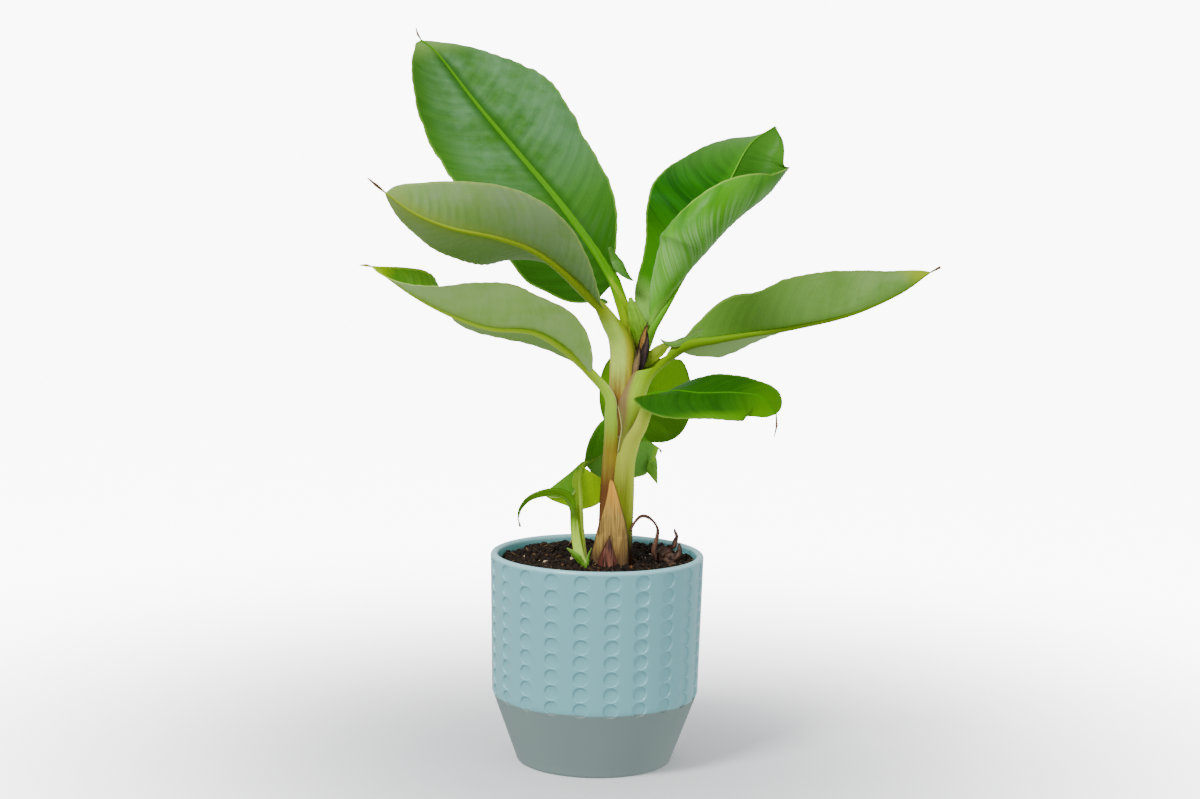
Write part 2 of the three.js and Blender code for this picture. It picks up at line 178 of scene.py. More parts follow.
# Closed skin over rings of points: the rings have an even count, and the first and last are capped by pairs
def loftPiece(name, rings, grain, trim, materials, faceMaterials=None, sharp=()):
    faces = loftFaces(*rings.shape[:2])
    attributes = {"grain": grain.reshape(-1, 3), "trim": trim.reshape(-1, 3)}
    return meshPiece(name, rings.reshape(-1, 3), faces, materials, faceMaterials, attributes, sharp)


def loftFaces(rows, count):
    faces = []
    for i in range(rows - 1):
        for j in range(count):
            a = i * count + j
            b = i * count + (j + 1) % count
            faces.append((a, b, b + count, a + count))
    last = (rows - 1) * count
    for j in range(count // 2 - 1):
        k = count - 1 - j
        faces.append((j + 1, k - 1, k, j))
        faces.append((last + j, last + k, last + k - 1, last + j + 1))
    return faces


# Rings of bmesh vertices joined into a tube
def joinRings(work, rings):
    for low, high in zip(rings[:-1], rings[1:]):
        for i in range(len(low)):
            k = (i + 1) % len(low)
            work.faces.new((low[i], low[k], high[k], high[i]))


# Faces of a disc: a fan round its first point, then rings of quads
def discFaces(spokes, rings):
    faces = [(0, 1 + i, 1 + (i + 1) % spokes) for i in range(spokes)]
    for ring in range(rings):
        for i in range(spokes):
            a, b = 1 + ring * spokes + i, 1 + ring * spokes + (i + 1) % spokes
            faces.append((a, a + spokes, b + spokes, b))
    return faces


# One ring from the two sides of a sheet: across its first side and back along the other
def ringed(first, second=None):
    return np.concatenate([first, (first if second is None else second)[:, ::-1]], 1)


# Points off a path, by their distances to its side and along its normal
def offPath(s, x, y):
    return s["path"][:, None] + s["side"][:, None] * x[..., None] + s["normal"][:, None] * y[..., None]


def finished(piece, nodes):
    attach(piece, "root")
    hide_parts(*nodes)
    return piece


# Smooth values between even stops, or by a rule of its own
def along(stops, u):
    if callable(stops):
        return stops(u)
    stops = np.atleast_1d(np.asarray(stops, float))
    if len(stops) == 1:
        return np.full_like(u, stops[0])
    padded = np.r_[2 * stops[0] - stops[1], stops, 2 * stops[-1] - stops[-2]]
    x = u * (len(stops) - 1)
    k = np.minimum(x.astype(int), len(stops) - 2)
    f = x - k
    a, b, c, d = (padded[k + i] for i in range(4))
    bend, swing = 2 * a - 5 * b + 4 * c - d, 3 * b - a - 3 * c + d
    return 0.5 * (2 * b + (c - a) * f + bend * f ** 2 + swing * f ** 3)


def unit(vectors):
    return vectors / np.linalg.norm(vectors, axis=-1, keepdims=True)


def runLengths(path):
    return np.r_[0, np.cumsum(np.linalg.norm(np.diff(path, axis=0), axis=1))]


def smoothPath(points, steps):
    points = np.asarray(points, float)
    fine = np.linspace(0, 1, 60 * len(points))
    curve = np.stack([along(points[:, k], fine) for k in range(3)], 1)
    lengths = runLengths(curve)
    even = np.linspace(0, lengths[-1], steps + 1)
    return np.stack([np.interp(even, lengths, curve[:, k]) for k in range(3)], 1), lengths[-1]


# Points along a path with their level side and the normal to it, rolled about the path
def stationsAlong(points, azimuth, roll, steps):
    path, length = smoothPath(points, steps)
    u = np.linspace(0, 1, steps + 1)
    tangent = unit(np.gradient(path, axis=0))
    heading = np.radians(along(azimuth, u))
    level = np.stack([np.sin(heading), -np.cos(heading), np.zeros_like(u)], 1)
    side = unit(level - np.sum(level * tangent, 1)[:, None] * tangent)
    normal = np.cross(side, tangent)
    turn = np.radians(along(roll, u))[:, None]
    return {
        "u": u, "path": path, "length": length, "tangent": tangent,
        "side": side * np.cos(turn) + normal * np.sin(turn),
        "normal": normal * np.cos(turn) - side * np.sin(turn),
    }


# Even, seeded unevenness between -1 and 1
def wobble(x, y=0.0, z=0.0, seed=0.0):
    shape = np.broadcast(np.asarray(x), np.asarray(y), np.asarray(z))
    flat = [noise.noise(Vector((float(a), float(b), float(c) + 17.3 * seed))) for a, b, c in shape]
    return np.array(flat).reshape(shape.shape)


# Camera, floor and light
view = {
    "place": (0, -1650, 470), "down": 6.8, "roll": 1.05, "focal": 2230, "frameWidth": 1200, "sensor": 36,
    "farEnd": 50,
}


def makeCamera():
    data = bpy.data.cameras.new("camera")
    data.sensor_width = view["sensor"]
    data.lens = view["focal"] / view["frameWidth"] * view["sensor"]
    data.clip_end = view["farEnd"]
    camera = newObject("camera", data)
    camera.location = Vector(view["place"]) * mm
    tilt = Matrix.Rotation(math.radians(90 - view["down"]), 3, "X")
    camera.rotation_euler = (tilt @ Matrix.Rotation(math.radians(view["roll"]), 3, "Z")).to_euler()
    bpy.context.scene.camera = camera


# The backdrop's sizes are metres
studio = {
    "floor": "#f3f3f4", "reach": 9.0, "bend": 1.2, "behind": 3, "bendSteps": 12,
    "glow": 9.0, "glowColour": "#fcfcff", "glowFrom": 0.1, "glowTo": 0.9, "world": 0.84, "sky": "#fbfbff",
    "lamps": [
        {"name": "keyLamp", "place": (-1100, -1300, 1900), "width": 600, "watts": 52},
        {"name": "fillLamp", "place": (1700, -1300, 1100), "width": 1300, "watts": 8},
        {"name": "topLamp", "place": (200, 500, 2300), "width": 1500, "watts": 8},
    ],
    "aim": (0, 0, 280),
}


def makeStudio():
    reach, bend, behind = studio["reach"], studio["bend"], studio["behind"]
    turns = [math.radians(90 * i / studio["bendSteps"]) for i in range(studio["bendSteps"] + 1)]
    profile = [(-reach, 0.0)] + [(behind + bend * math.sin(t), bend - bend * math.cos(t)) for t in turns]
    profile.append((behind + bend, reach))
    points = [(x / mm, y / mm, z / mm) for y, z in profile for x in (-reach, reach)]
    faces = [(2 * i, 2 * i + 1, 2 * i + 3, 2 * i + 2) for i in range(len(profile) - 1)]
    paper, tree, skin = newMaterial("whiteBackdropPaper", 0.9, 0.2, **{
        "Base Color": linear(studio["floor"]), "Emission Color": linear(studio["glowColour"]),
    })
    place = addNode(tree, "ShaderNodeTexCoord").outputs["Object"]
    away = addNode(tree, "ShaderNodeVectorMath", {0: place}, operation="LENGTH").outputs["Value"]
    glow = masked(tree, away, studio["glowFrom"], studio["glowTo"], studio["glow"])
    tree.links.new(glow, skin.inputs["Emission Strength"])
    floor = meshPiece("floor", points, faces, [paper], turn=False)
    floor.visible_diffuse = False  # its glow whitens the picture without lighting the plant
    floor.visible_glossy = False
    for lamp in studio["lamps"]:
        data = bpy.data.lights.new(lamp["name"], "AREA")
        data.size = lamp["width"] * mm
        data.energy = lamp["watts"]
        light = newObject(lamp["name"], data)
        light.location = Vector(lamp["place"]) * mm
        towards = Vector(studio["aim"]) * mm - light.location
        light.rotation_euler = towards.to_track_quat("-Z", "Y").to_euler()
    world = bpy.data.worlds.new("world")
    world.use_nodes = True
    sky = world.node_tree.nodes["Background"].inputs
    sky["Color"].default_value = linear(studio["sky"])
    sky["Strength"].default_value = studio["world"]
    bpy.context.scene.world = world


makeCamera()
makeStudio()
print("camera, floor and light ready")


# The pot: a lathe form whose upper wall carries columns of pressed circles. The glaze ends near the kink
pot = {
    "height": 158, "rimRadius": 80, "kinkRadius": 77.6, "kinkHeight": 53.5, "footRadius": 58,
    "footRound": 2.5, "wall": 5.5, "floor": 8, "weld": 0.02,
    "columns": 22, "rows": 9, "rowPitch": 11.75, "lowestRow": 55.3, "firstColumn": 0.5,
    "circle": 5.5, "step": 0.7, "press": 1.25, "spokes": 28,
    "glazeEdge": (-0.8, 0.4), "glazeWander": 3.5, "lipHighlight": (154.5, 157),
}
cone = (pot["kinkRadius"] - pot["footRadius"]) / pot["kinkHeight"]
flare = (pot["rimRadius"] - pot["kinkRadius"]) / (pot["height"] - pot["kinkHeight"])


def outerRadius(z):
    return pot["kinkRadius"] + (z - pot["kinkHeight"]) * (cone if z < pot["kinkHeight"] else flare)


# One flat cell of the wall with its circle pressed in: x is the arc, y the height and z the depth
def circleCell():
    halfWidth = math.pi * pot["kinkRadius"] / pot["columns"]
    halfHeight = pot["rowPitch"] / 2
    spokes = pot["spokes"]
    angles = [2 * math.pi * i / spokes for i in range(spokes)]
    corner = math.atan2(halfHeight, halfWidth)
    corners = [corner, math.pi - corner, math.pi + corner, 2 * math.pi - corner]
    nearest = {min(range(spokes), key=lambda i: abs(angles[i] - c)): c for c in corners}
    edge = []
    for i, angle in enumerate(angles):
        a = nearest.get(i, angle)
        reach = min(halfWidth / max(abs(math.cos(a)), 1e-6), halfHeight / max(abs(math.sin(a)), 1e-6))
        edge.append((reach * math.cos(a), reach * math.sin(a)))
    points = [(0, 0, -pot["press"])]
    pressed = ((0, 1), (0.3, 0.9), (0.5, 0.5), (0.7, 0.1), (1, 0))  # share of the step, share of the depth
    for share, depth in pressed:
        radius = pot["circle"] - pot["step"] * (0.5 - share)
        points += [(radius * math.cos(a), radius * math.sin(a), -depth * pot["press"]) for a in angles]
    outer = pot["circle"] + pot["step"] / 2
    plain = (0.25, 0.5, 0.75, 1)
    for share in plain:
        for angle, (x, y) in zip(angles, edge):
            points.append((outer * math.cos(angle) * (1 - share) + x * share,
                           outer * math.sin(angle) * (1 - share) + y * share, 0))
    faces = discFaces(spokes, len(pressed) + len(plain) - 1)
    return points, faces, sorted({round(x, 6) for (x, y) in edge if abs(y - halfHeight) < 1e-6})


# Geometry Nodes set the cells out in columns and rows and bend the sheet round the pot
def circleSheet(cell):
    sizes = {
        "Columns": pot["columns"], "Rows": pot["rows"], "Radius": pot["kinkRadius"],
        "RowPitch": pot["rowPitch"], "LowestRow": pot["lowestRow"], "Kink": pot["kinkHeight"],
        "Flare": flare, "Cone": cone, "FirstColumn": math.radians(pot["firstColumn"]),
    }
    tree, start = newTree("pressedCircles", sizes)
    position = addNode(tree, "GeometryNodeInputPosition").outputs[0]
    flat = addNode(tree, "ShaderNodeSeparateXYZ", {0: position}).outputs
    known = {**{key: start[key] for key in sizes}, **{axis: flat[axis] for axis in "XYZ"}}
    steps = (
        ("girth", "MULTIPLY", "Radius", 2 * math.pi), ("columnPitch", "DIVIDE", "girth", "Columns"),
        ("lastColumn", "SUBTRACT", "Columns", 1.0), ("lastRow", "SUBTRACT", "Rows", 1.0),
        ("wide", "MULTIPLY", "columnPitch", "lastColumn"), ("high", "MULTIPLY", "RowPitch", "lastRow"),
        ("halfHigh", "MULTIPLY", "high", 0.5), ("middle", "ADD", "halfHigh", "LowestRow"),
        ("height", "ADD", "Y", "middle"), ("arc", "DIVIDE", "X", "Radius"),
        ("turn", "ADD", "arc", "FirstColumn"), ("above", "SUBTRACT", "height", "Kink"),
        ("flared", "MULTIPLY", "above", "Flare"), ("coned", "MULTIPLY", "above", "Cone"),
        ("rise", "MINIMUM", "flared", "coned"), ("wall", "ADD", "Radius", "rise"),
        ("radius", "ADD", "wall", "Z"), ("sine", "SINE", "turn", 0.0), ("cosine", "COSINE", "turn", 0.0),
        ("right", "MULTIPLY", "radius", "sine"), ("front", "MULTIPLY", "radius", "cosine"),
        ("back", "MULTIPLY", "front", -1.0), ("depth", "MULTIPLY", "Z", -1.0 / pot["press"]),
    )
    for name, operation, a, b in steps:
        values = {0: known.get(a, a), 1: known.get(b, b)}
        known[name] = addNode(tree, "ShaderNodeMath", values, operation=operation).outputs[0]
    grid = addNode(tree, "GeometryNodeMeshGrid", {
        "Size X": known["wide"], "Size Y": known["high"],
        "Vertices X": start["Columns"], "Vertices Y": start["Rows"],
    })
    cells = copied(tree, cell, grid.outputs["Mesh"])
    marked = addNode(tree, "GeometryNodeStoreNamedAttribute",
                     {"Geometry": cells, "Name": "press", "Value": known["depth"]}, data_type="FLOAT")
    bent = addNode(tree, "ShaderNodeCombineXYZ", {0: known["right"], 1: known["back"], 2: known["height"]})
    shaped = addNode(tree, "GeometryNodeSetPosition",
                     {"Geometry": marked.outputs[0], "Position": bent.outputs[0]})
    holder = newObject("circleHolder", bpy.data.meshes.new("circleHolder"))
    return treeMesh(holder, tree, sizes, shaped.outputs[0], cell.data.materials[0])


# Stoneware with a clear gloss glaze over a teal slip above the kink, and the bare matt slip below it
def potSkin():
    material, tree, skin = newMaterial("glazedStoneware", 0.25, 0.5)
    place, (_, _, height) = split(tree)
    wander = streaked(tree, place, (25, 25, 25), detail=2)
    shift = addNode(tree, "ShaderNodeMath", {0: wander, 1: pot["glazeWander"] * mm, 2: height},
                    operation="MULTIPLY_ADD").outputs[0]
    glazed = masked(tree, shift, *[(pot["kinkHeight"] + edge) * mm for edge in pot["glazeEdge"]])
    cloud = streaked(tree, place, (14, 14, 9), detail=4)
    speck = masked(tree, streaked(tree, place, (900, 900, 900), detail=1), 0.68, 0.74, 0.35)
    slip = layered(tree, linear("#748b88"), ("#7e938c", cloud), ("#5d7573", speck))
    # Painted highlight: the glaze on the lip's top edge is paler, standing in for the reflection of the
    # bright surroundings
    paintedLipHighlight = masked(tree, height, *[edge * mm for edge in pot["lipHighlight"]], 0.75)
    # Each pressed circle's step is paler: partly the glaze thinning over the edge, partly a painted highlight
    # on the rim
    press = addNode(tree, "ShaderNodeAttribute", attribute_name="press").outputs["Fac"]
    stepGlazeAndHighlight = masked(tree, press, 0.0, 0.25, masked(tree, press, 1.0, 0.5, 0.6))
    gloss = layered(tree, linear("#72b6bc"), ("#7ebfc4", cloud), ("#a4dce4", paintedLipHighlight), ("#a0d0d6", stepGlazeAndHighlight))
    rough = addNode(tree, "ShaderNodeMapRange", {"Value": glazed, "To Min": 0.62, "To Max": 0.22})
    tree.links.new(rough.outputs[0], skin.inputs["Roughness"])
    grit = streaked(tree, place, (1100, 1100, 1100), detail=2)
    dressed(tree, skin, layered(tree, slip, (gloss, glazed)), (grit, 0.12, 0.0002))
    return material


# The pot's section below and above the circles, as radii and heights
def potProfiles():
    foot, lip, wall, floor = pot["footRound"], pot["wall"] / 2, pot["wall"], pot["floor"]
    sheetLow = pot["lowestRow"] - pot["rowPitch"] / 2
    sheetHigh = sheetLow + pot["rowPitch"] * pot["rows"]
    low = [(0, 0), (pot["footRadius"] - 10, 0), (pot["footRadius"] - foot, 0)]
    low += [(outerRadius(foot) - foot * (1 - math.sin(math.radians(a))) * 0.9,
             foot * (1 - math.cos(math.radians(a)))) for a in (30, 60)]
    low += [(outerRadius(z), z) for z in np.linspace(foot, sheetLow, 10)]
    high = [(outerRadius(z), z) for z in np.linspace(sheetHigh, pot["height"] - lip, 4)]
    centre = (pot["rimRadius"] - lip, pot["height"] - lip)
    high += [(centre[0] + lip * math.cos(math.radians(a)), centre[1] + lip * math.sin(math.radians(a)))
             for a in range(15, 180, 15)]
    high += [(outerRadius(z) - wall, z) for z in np.linspace(pot["height"] - lip, floor + 2, 12)]
    high += [(outerRadius(floor) - wall - 2, floor), (0, floor)]
    return low, high


def makePot():
    skin = potSkin()
    points, faces, edgeArcs = circleCell()
    mesh = bpy.data.meshes.new("circleCell")
    mesh.from_pydata(points, [], faces)
    mesh.materials.append(skin)
    cell = newObject("circleCell", mesh)
    sheet = circleSheet(cell)
    bpy.data.objects.remove(cell)

    # The plain rings have their corners where the cells' edges have them
    columnTurn = 2 * math.pi / pot["columns"]
    starts = [math.radians(pot["firstColumn"]) + columnTurn * (c - (pot["columns"] - 1) / 2)
              for c in range(pot["columns"])]
    turns = [start + x / pot["kinkRadius"] for start in starts for x in edgeArcs[:-1]]
    work = bmesh.new()
    work.from_mesh(sheet)
    for profile in potProfiles():
        joinRings(work, [[work.verts.new((r * math.sin(t), -r * math.cos(t), z)) for t in turns]
                         for r, z in profile])
    bmesh.ops.remove_doubles(work, verts=work.verts, dist=pot["weld"])
    bmesh.ops.scale(work, vec=(mm, mm, mm), verts=work.verts)
    bmesh.ops.recalc_face_normals(work, faces=work.faces)
    for face in work.faces:
        face.smooth = True
    for edge in work.edges:
        flat = max(v.co.z for v in edge.verts) < 1e-6
        if flat and min(v.co.xy.length for v in edge.verts) > (pot["footRadius"] - 4) * mm:
            edge.smooth = False
    work.to_mesh(sheet)
    work.free()
    sheet.materials.clear()
    sheet.materials.append(skin)
    sheet.polygons.foreach_set("material_index", [0] * len(sheet.polygons))
    print("pot", len(sheet.polygons), "faces")
    return finished(newObject("glazedPot", sheet), ["pot"])


makePot()


# Soil: a crumbled top on a plain body, strewn with crumbs, chips and fibres at so many to the square metre
soil = {
    "top": 149, "floor": 8.3, "spokes": 120, "rings": 44, "rough": 3.8, "crumb": 11.0, "rise": 3.4,
    "gap": 0.3, "overlap": 0.2,
    "strewn": [
        {"name": "crumbs", "density": 120000, "small": 0.8, "large": 3.6, "flat": 0.75, "seed": 3,
         "colours": ("#120c09", "#38261c")},
        {"name": "barkChips", "density": 12000, "small": 0.7, "large": 2.6, "flat": 0.4, "seed": 8,
         "colours": ("#4c2c1a", "#8c5a34")},
        {"name": "paleChips", "density": 6000, "small": 0.6, "large": 2.7, "flat": 0.55, "seed": 12,
         "colours": ("#d8bf96", "#e6d6b8")},
        {"name": "fibres", "density": 20000, "small": 0.7, "large": 1.7, "flat": 0.0, "seed": 21,
         "colours": ("#604a30", "#947850")},
    ],
}


# Moist peat, crumbled: nearly black, with brown flecks and no shine
def peatSkin(name, dark, pale, scale=260):
    material, tree, skin = newMaterial(name, 0.92, 0.25)
    place = addNode(tree, "ShaderNodeTexCoord").outputs["Object"]
    grains = streaked(tree, place, (scale, scale, scale), detail=5, roughness=0.7)
    colour = layered(tree, linear(dark), (pale, masked(tree, grains, 0.42, 0.66)))
    dressed(tree, skin, colour, (grains, 0.8, 0.0008))
    return material


def soilHeight(x, y):
    lumps = wobble(x / soil["crumb"], y / soil["crumb"], seed=1) + 0.6 * wobble(x / 4.2, y / 4.2, seed=2)
    return soil["top"] + soil["rough"] * lumps + soil["rise"] * y / 74


# A small irregular stone of a few faces, or a short bent fibre, as an object to strew
def crumbObject(item, material):
    work = bmesh.new()
    if item["flat"] > 0:
        bmesh.ops.create_icosphere(work, subdivisions=1, radius=1.0)
        for vert in work.verts:
            vert.co *= 1 + 0.35 * noise.noise(vert.co * 1.7 + Vector((item["seed"], 0, 0)))
            vert.co.z *= item["flat"]
    else:
        rows = [[work.verts.new((5 * t, 0.9 * math.sin(3 * t) + 0.2 * math.cos(a), 0.2 * math.sin(a)))
                 for a in (0, 2.1, 4.2)] for t in np.linspace(-1, 1, 6)]
        joinRings(work, rows)
        work.faces.new(rows[0])
        work.faces.new(rows[-1])
        bmesh.ops.recalc_face_normals(work, faces=work.faces)
    bmesh.ops.scale(work, vec=(mm, mm, mm), verts=work.verts)
    mesh = bpy.data.meshes.new(item["name"])
    work.to_mesh(mesh)
    work.free()
    mesh.materials.append(material)
    return newObject(item["name"] + "Source", mesh)


# Geometry Nodes strew one kind of crumb over a surface
def strewnMesh(surface, item, source, material):
    sizes = {"Density": float(item["density"]), "Smallest": item["small"], "Largest": item["large"]}
    tree, start = newTree(item["name"], sizes)
    points = addNode(tree, "GeometryNodeDistributePointsOnFaces",
                     {"Mesh": start["Geometry"], "Density": start["Density"], "Seed": item["seed"]})
    full, tilt = 6.28, 0.5  # chips lie any way up, fibres nearly flat
    turns = {"Max": (full, full, full)}
    if not item["flat"]:
        turns = {"Min": (-tilt, -tilt, 0), "Max": (tilt, tilt, full)}
    turn = addNode(tree, "FunctionNodeRandomValue", {"Seed": item["seed"] + 1, **turns},
                   data_type="FLOAT_VECTOR")
    size = addNode(tree, "FunctionNodeRandomValue",
                   {2: start["Smallest"], 3: start["Largest"], "Seed": item["seed"] + 2}, data_type="FLOAT")
    strewn = copied(tree, source, points.outputs["Points"], Rotation=turn.outputs[0], Scale=size.outputs[1])
    holder = newObject(item["name"] + "Holder", surface.data.copy())
    return treeMesh(holder, tree, sizes, strewn, material)


def makeSoil():
    spokes, rings, floor = soil["spokes"], soil["rings"], soil["floor"]
    inset = pot["wall"] + soil["gap"]
    radius = outerRadius(soil["top"]) - pot["wall"] + soil["overlap"]
    turns = np.linspace(0, 2 * math.pi, spokes, endpoint=False)
    radii = radius * np.linspace(0, 1, rings + 1)[1:]
    x = np.outer(radii, np.cos(turns)).ravel()
    y = np.outer(radii, np.sin(turns)).ravel()
    top = np.stack([x, y, soilHeight(x, y)], 1)
    middle = (0, 0, soilHeight(np.zeros(1), np.zeros(1))[0])
    belows = ((outerRadius(pot["kinkHeight"]) - inset, pot["kinkHeight"]), (outerRadius(9) - inset, floor))
    body = [(r * math.cos(t), r * math.sin(t), z) for r, z in belows for t in turns]
    points = np.vstack([[middle], top, body, [(0, 0, floor)]])
    faces = discFaces(spokes, rings + 1)
    last = 1 + (rings + 1) * spokes
    faces += [(len(points) - 1, last + (i + 1) % spokes, last + i) for i in range(spokes)]
    skin = peatSkin("moistPottingSoil", "#0e0907", "#33231a")
    finished(meshPiece("pottingSoil", points, faces, [skin]), ["soil"])
    rim = spokes * (rings - 1)
    inner = [f for f in faces if max(f) <= rim]
    surface = meshPiece("soilSurface", points[:1 + rim], inner, [skin], turn=False)
    for item in soil["strewn"]:
        material = peatSkin(item["name"] + "Skin", *item["colours"], scale=500)
        source = crumbObject(item, material)
        mesh = strewnMesh(surface, item, source, material)
        bpy.data.objects.remove(source)
        finished(newObject(item["name"], mesh), ["soil"])
        print(item["name"], len(mesh.polygons), "faces")
    bpy.data.objects.remove(surface)


makeSoil()


# Leaves: each blade's midrib, heading and roll, and its halves by their parts: width and where it is widest,
# how full base and tip are, the fold at the midrib, the curl on to the margin, and a lobe that hangs back
halfParts = ("width", "widest", "base", "tip", "fold", "curl", "lobe")
blades = {
    "leaf_1": {
        "rib": [(9, 16, 361), (-9, 38, 387), (-36, 60, 420), (-66, 80, 453), (-101, 100, 492),
                (-132, 116, 529), (-146, 122, 540)],
        "tail": [(-148.5, 123, 545), (-150, 124, 550)], "azimuth": 140, "roll": (80, 37, 38, 0),
        "stalk": 5.5,
        "left": (62, 0.45, 2.7, 2, (-15, 13, 0), (0,)),
        "right": (66, 0.7, 1.4, 2.1, (18, -2, -4), (7, -13, -2)),
        "pleat": 11, "ripple": 0.42, "waver": 1.6, "ragged": 0.032, "skin": "bloomy",
    },
    "leaf_2": {
        "rib": [(-1, -18, 344), (-23, -38, 367), (-48, -58, 386), (-74, -76, 396), (-106, -96, 403),
                (-130, -110, 413), (-149, -120, 427)],
        "tail": [(-155, -122, 432), (-161, -124, 437)], "azimuth": 215, "roll": (2, -19, -40, -45),
        "stalk": 5,
        "left": (42, 0.47, 1.3, 1.8, (-7, 13, 35), (-3, 5, 18)),
        "right": (39, 0.32, 2, 1.4, (54, -4, 22), (0,)),
        "pleat": 8, "ripple": 0.25, "waver": 0.9, "ragged": 0.012, "skin": "greyUnder",
    },
    "leaf_3": {
        "rib": [(-11, -26, 300), (-28, -40, 317), (-50, -56, 329), (-79, -74, 332), (-104, -88, 341),
                (-130, -100, 355), (-159, -112, 376)],
        "tail": [(-163, -113, 377), (-167, -114, 377)], "azimuth": 215, "roll": (-1, -15, -13, 14),
        "stalk": 3.8,
        "left": (54, 0.55, 2, 1.9, (-18, 13, -5), (-9, 9, -2)),
        "right": (52, 0.48, 1.1, 1.1, (-15, 19, 97), (-6, -1, 26)),
        "pleat": 9, "ripple": 0.2, "waver": 0.8, "ragged": 0.012, "skin": "paleUnder",
    },
    "leaf_4": {
        "rib": [(37, 6, 326), (48, 10, 345), (67, 18, 376), (81, 26, 411), (96, 43, 439), (110, 52, 464),
                (129, 56, 478)],
        "tail": [(131, 56, 476)], "azimuth": 35, "roll": (25, 18, -8, 14), "stalk": 4.6,
        "left": (60, 0.68, 2, 2.3, (31, 18, -10), (24, 13, -9)),
        "right": (78, 0.35, 0.95, 2, (39, -54, -93), (150, 250, 180, 61)),
        "pleat": 7, "ripple": 0.22, "waver": 0.8, "ragged": 0.01, "skin": "glossy",
    },
    "leaf_5": {
        "rib": [(57, -12, 313), (71, -20, 320), (102, -34, 327), (137, -48, 334), (177, -62, 345),
                (210, -72, 361), (231, -78, 377)],
        "tail": [(238, -79, 381)], "azimuth": -25, "roll": (49, 25, 44, 28), "stalk": 4.6,
        "left": (43, 0.18, 2.1, 1.4, (13, 21, 49, 68), (11, -5, 19)),
        "right": (57, 0.52, 1.1, 1.4, (60, 1, 5), (37, 3, 6)),
        "pleat": 9, "ripple": 0.2, "waver": 0.9, "ragged": 0.014, "skin": "rightUnder",
    },
    "leaf_6": {
        "rib": [(38, -34, 281), (54, -44, 286), (72, -56, 286), (96, -68, 288), (115, -76, 286),
                (125, -82, 275)],
        "tail": [(125.5, -83, 266), (124, -83.5, 259)], "azimuth": -35, "roll": (15, -7, -6, -5),
        "stalk": 3.6,
        "left": (26, 0.48, 2.3, 2, (13, 18, 6), (0,)),
        "right": (43, 0.25, 2.1, 1.8, (-12, -15, -43), (0,), 7),
        "pleat": 7, "ripple": 0.16, "waver": 0.5, "ragged": 0.008, "skin": "saturated",
    },
    "leaf_7": {
        "rib": [(26, 24, 286), (31, 42, 297), (34, 62, 296), (35, 80, 280), (35, 92, 254), (34, 98, 228)],
        "tail": [(34, 98.5, 224)], "azimuth": 88, "roll": (0,), "stalk": 3.4,
        "left": (36, 0.62, 1.5, 2.6, (10, 0), (-10,)), "right": (37, 0.66, 1.5, 2.8, (10, 0), (-10,)),
        "pleat": 7, "ripple": 0.16, "waver": 0.5, "ragged": 0.008, "skin": "backLeaf",
    },
    "sucker_leaf_1": {
        "rib": [(-15, 8, 223), (-20, 7.5, 218), (-28, 6, 211.5), (-35, 4, 206), (-41, 3, 200)],
        "tail": [], "azimuth": 190, "roll": (0,), "stalk": 2.4,
        "left": (15, 0.5, 1.3, 1.6, (-75, -45), (-15,)),
        "right": (33, 0.3, 2.4, 1.6, (-82, -80), (-15,), 10),
        "pleat": 4, "ripple": 0.12, "waver": 0.4, "ragged": 0.01, "skin": "young",
    },
    "sucker_leaf_2": {
        "rib": [(-10, 17, 222), (4, 28, 229), (21, 40, 235), (36, 49, 236), (46, 54, 230)],
        "tail": [(48, 55, 227)], "azimuth": 42, "roll": (-30, -25, 0), "stalk": 2.4,
        "left": (26, 0.6, 1.5, 2, (50, 30, 10), (0,)), "right": (27, 0.62, 2.8, 2.4, (-35, -50, -62), (0,)),
        "pleat": 5, "ripple": 0.12, "waver": 0.4, "ragged": 0.01, "skin": "suckerBack",
    },
    "sucker_leaf_3": {
        "rib": [(-18.5, -12, 191), (-22, -14, 199.3), (-30, -15, 203), (-40, -16, 202.7), (-50.5, -16, 199),
                (-57, -16, 192), (-59, -16, 185)],
        "tail": [(-57.7, -16, 179)], "azimuth": 180, "roll": (0,), "stalk": 2,
        "left": (6, 0.3, 2, 1.4, (40,), (20,)), "right": (6, 0.3, 2, 1.4, (40,), (20,)),
        "pleat": 3, "ripple": 0.05, "waver": 0.2, "ragged": 0.01, "skin": "backLeaf",
    },
}
sheet = {
    "thickness": 0.5, "tipShare": 0.9, "stepLength": 1.6, "fewestSteps": 24, "strips": 20, "crowd": 1.25,
    "shortLength": 60, "shortStrips": 8, "lean": 0.42, "sweep": 14,
    "raggedStep": 13, "waveStep": 34, "driftStep": 30, "drift": 0.35, "fadeWidth": 8,
}
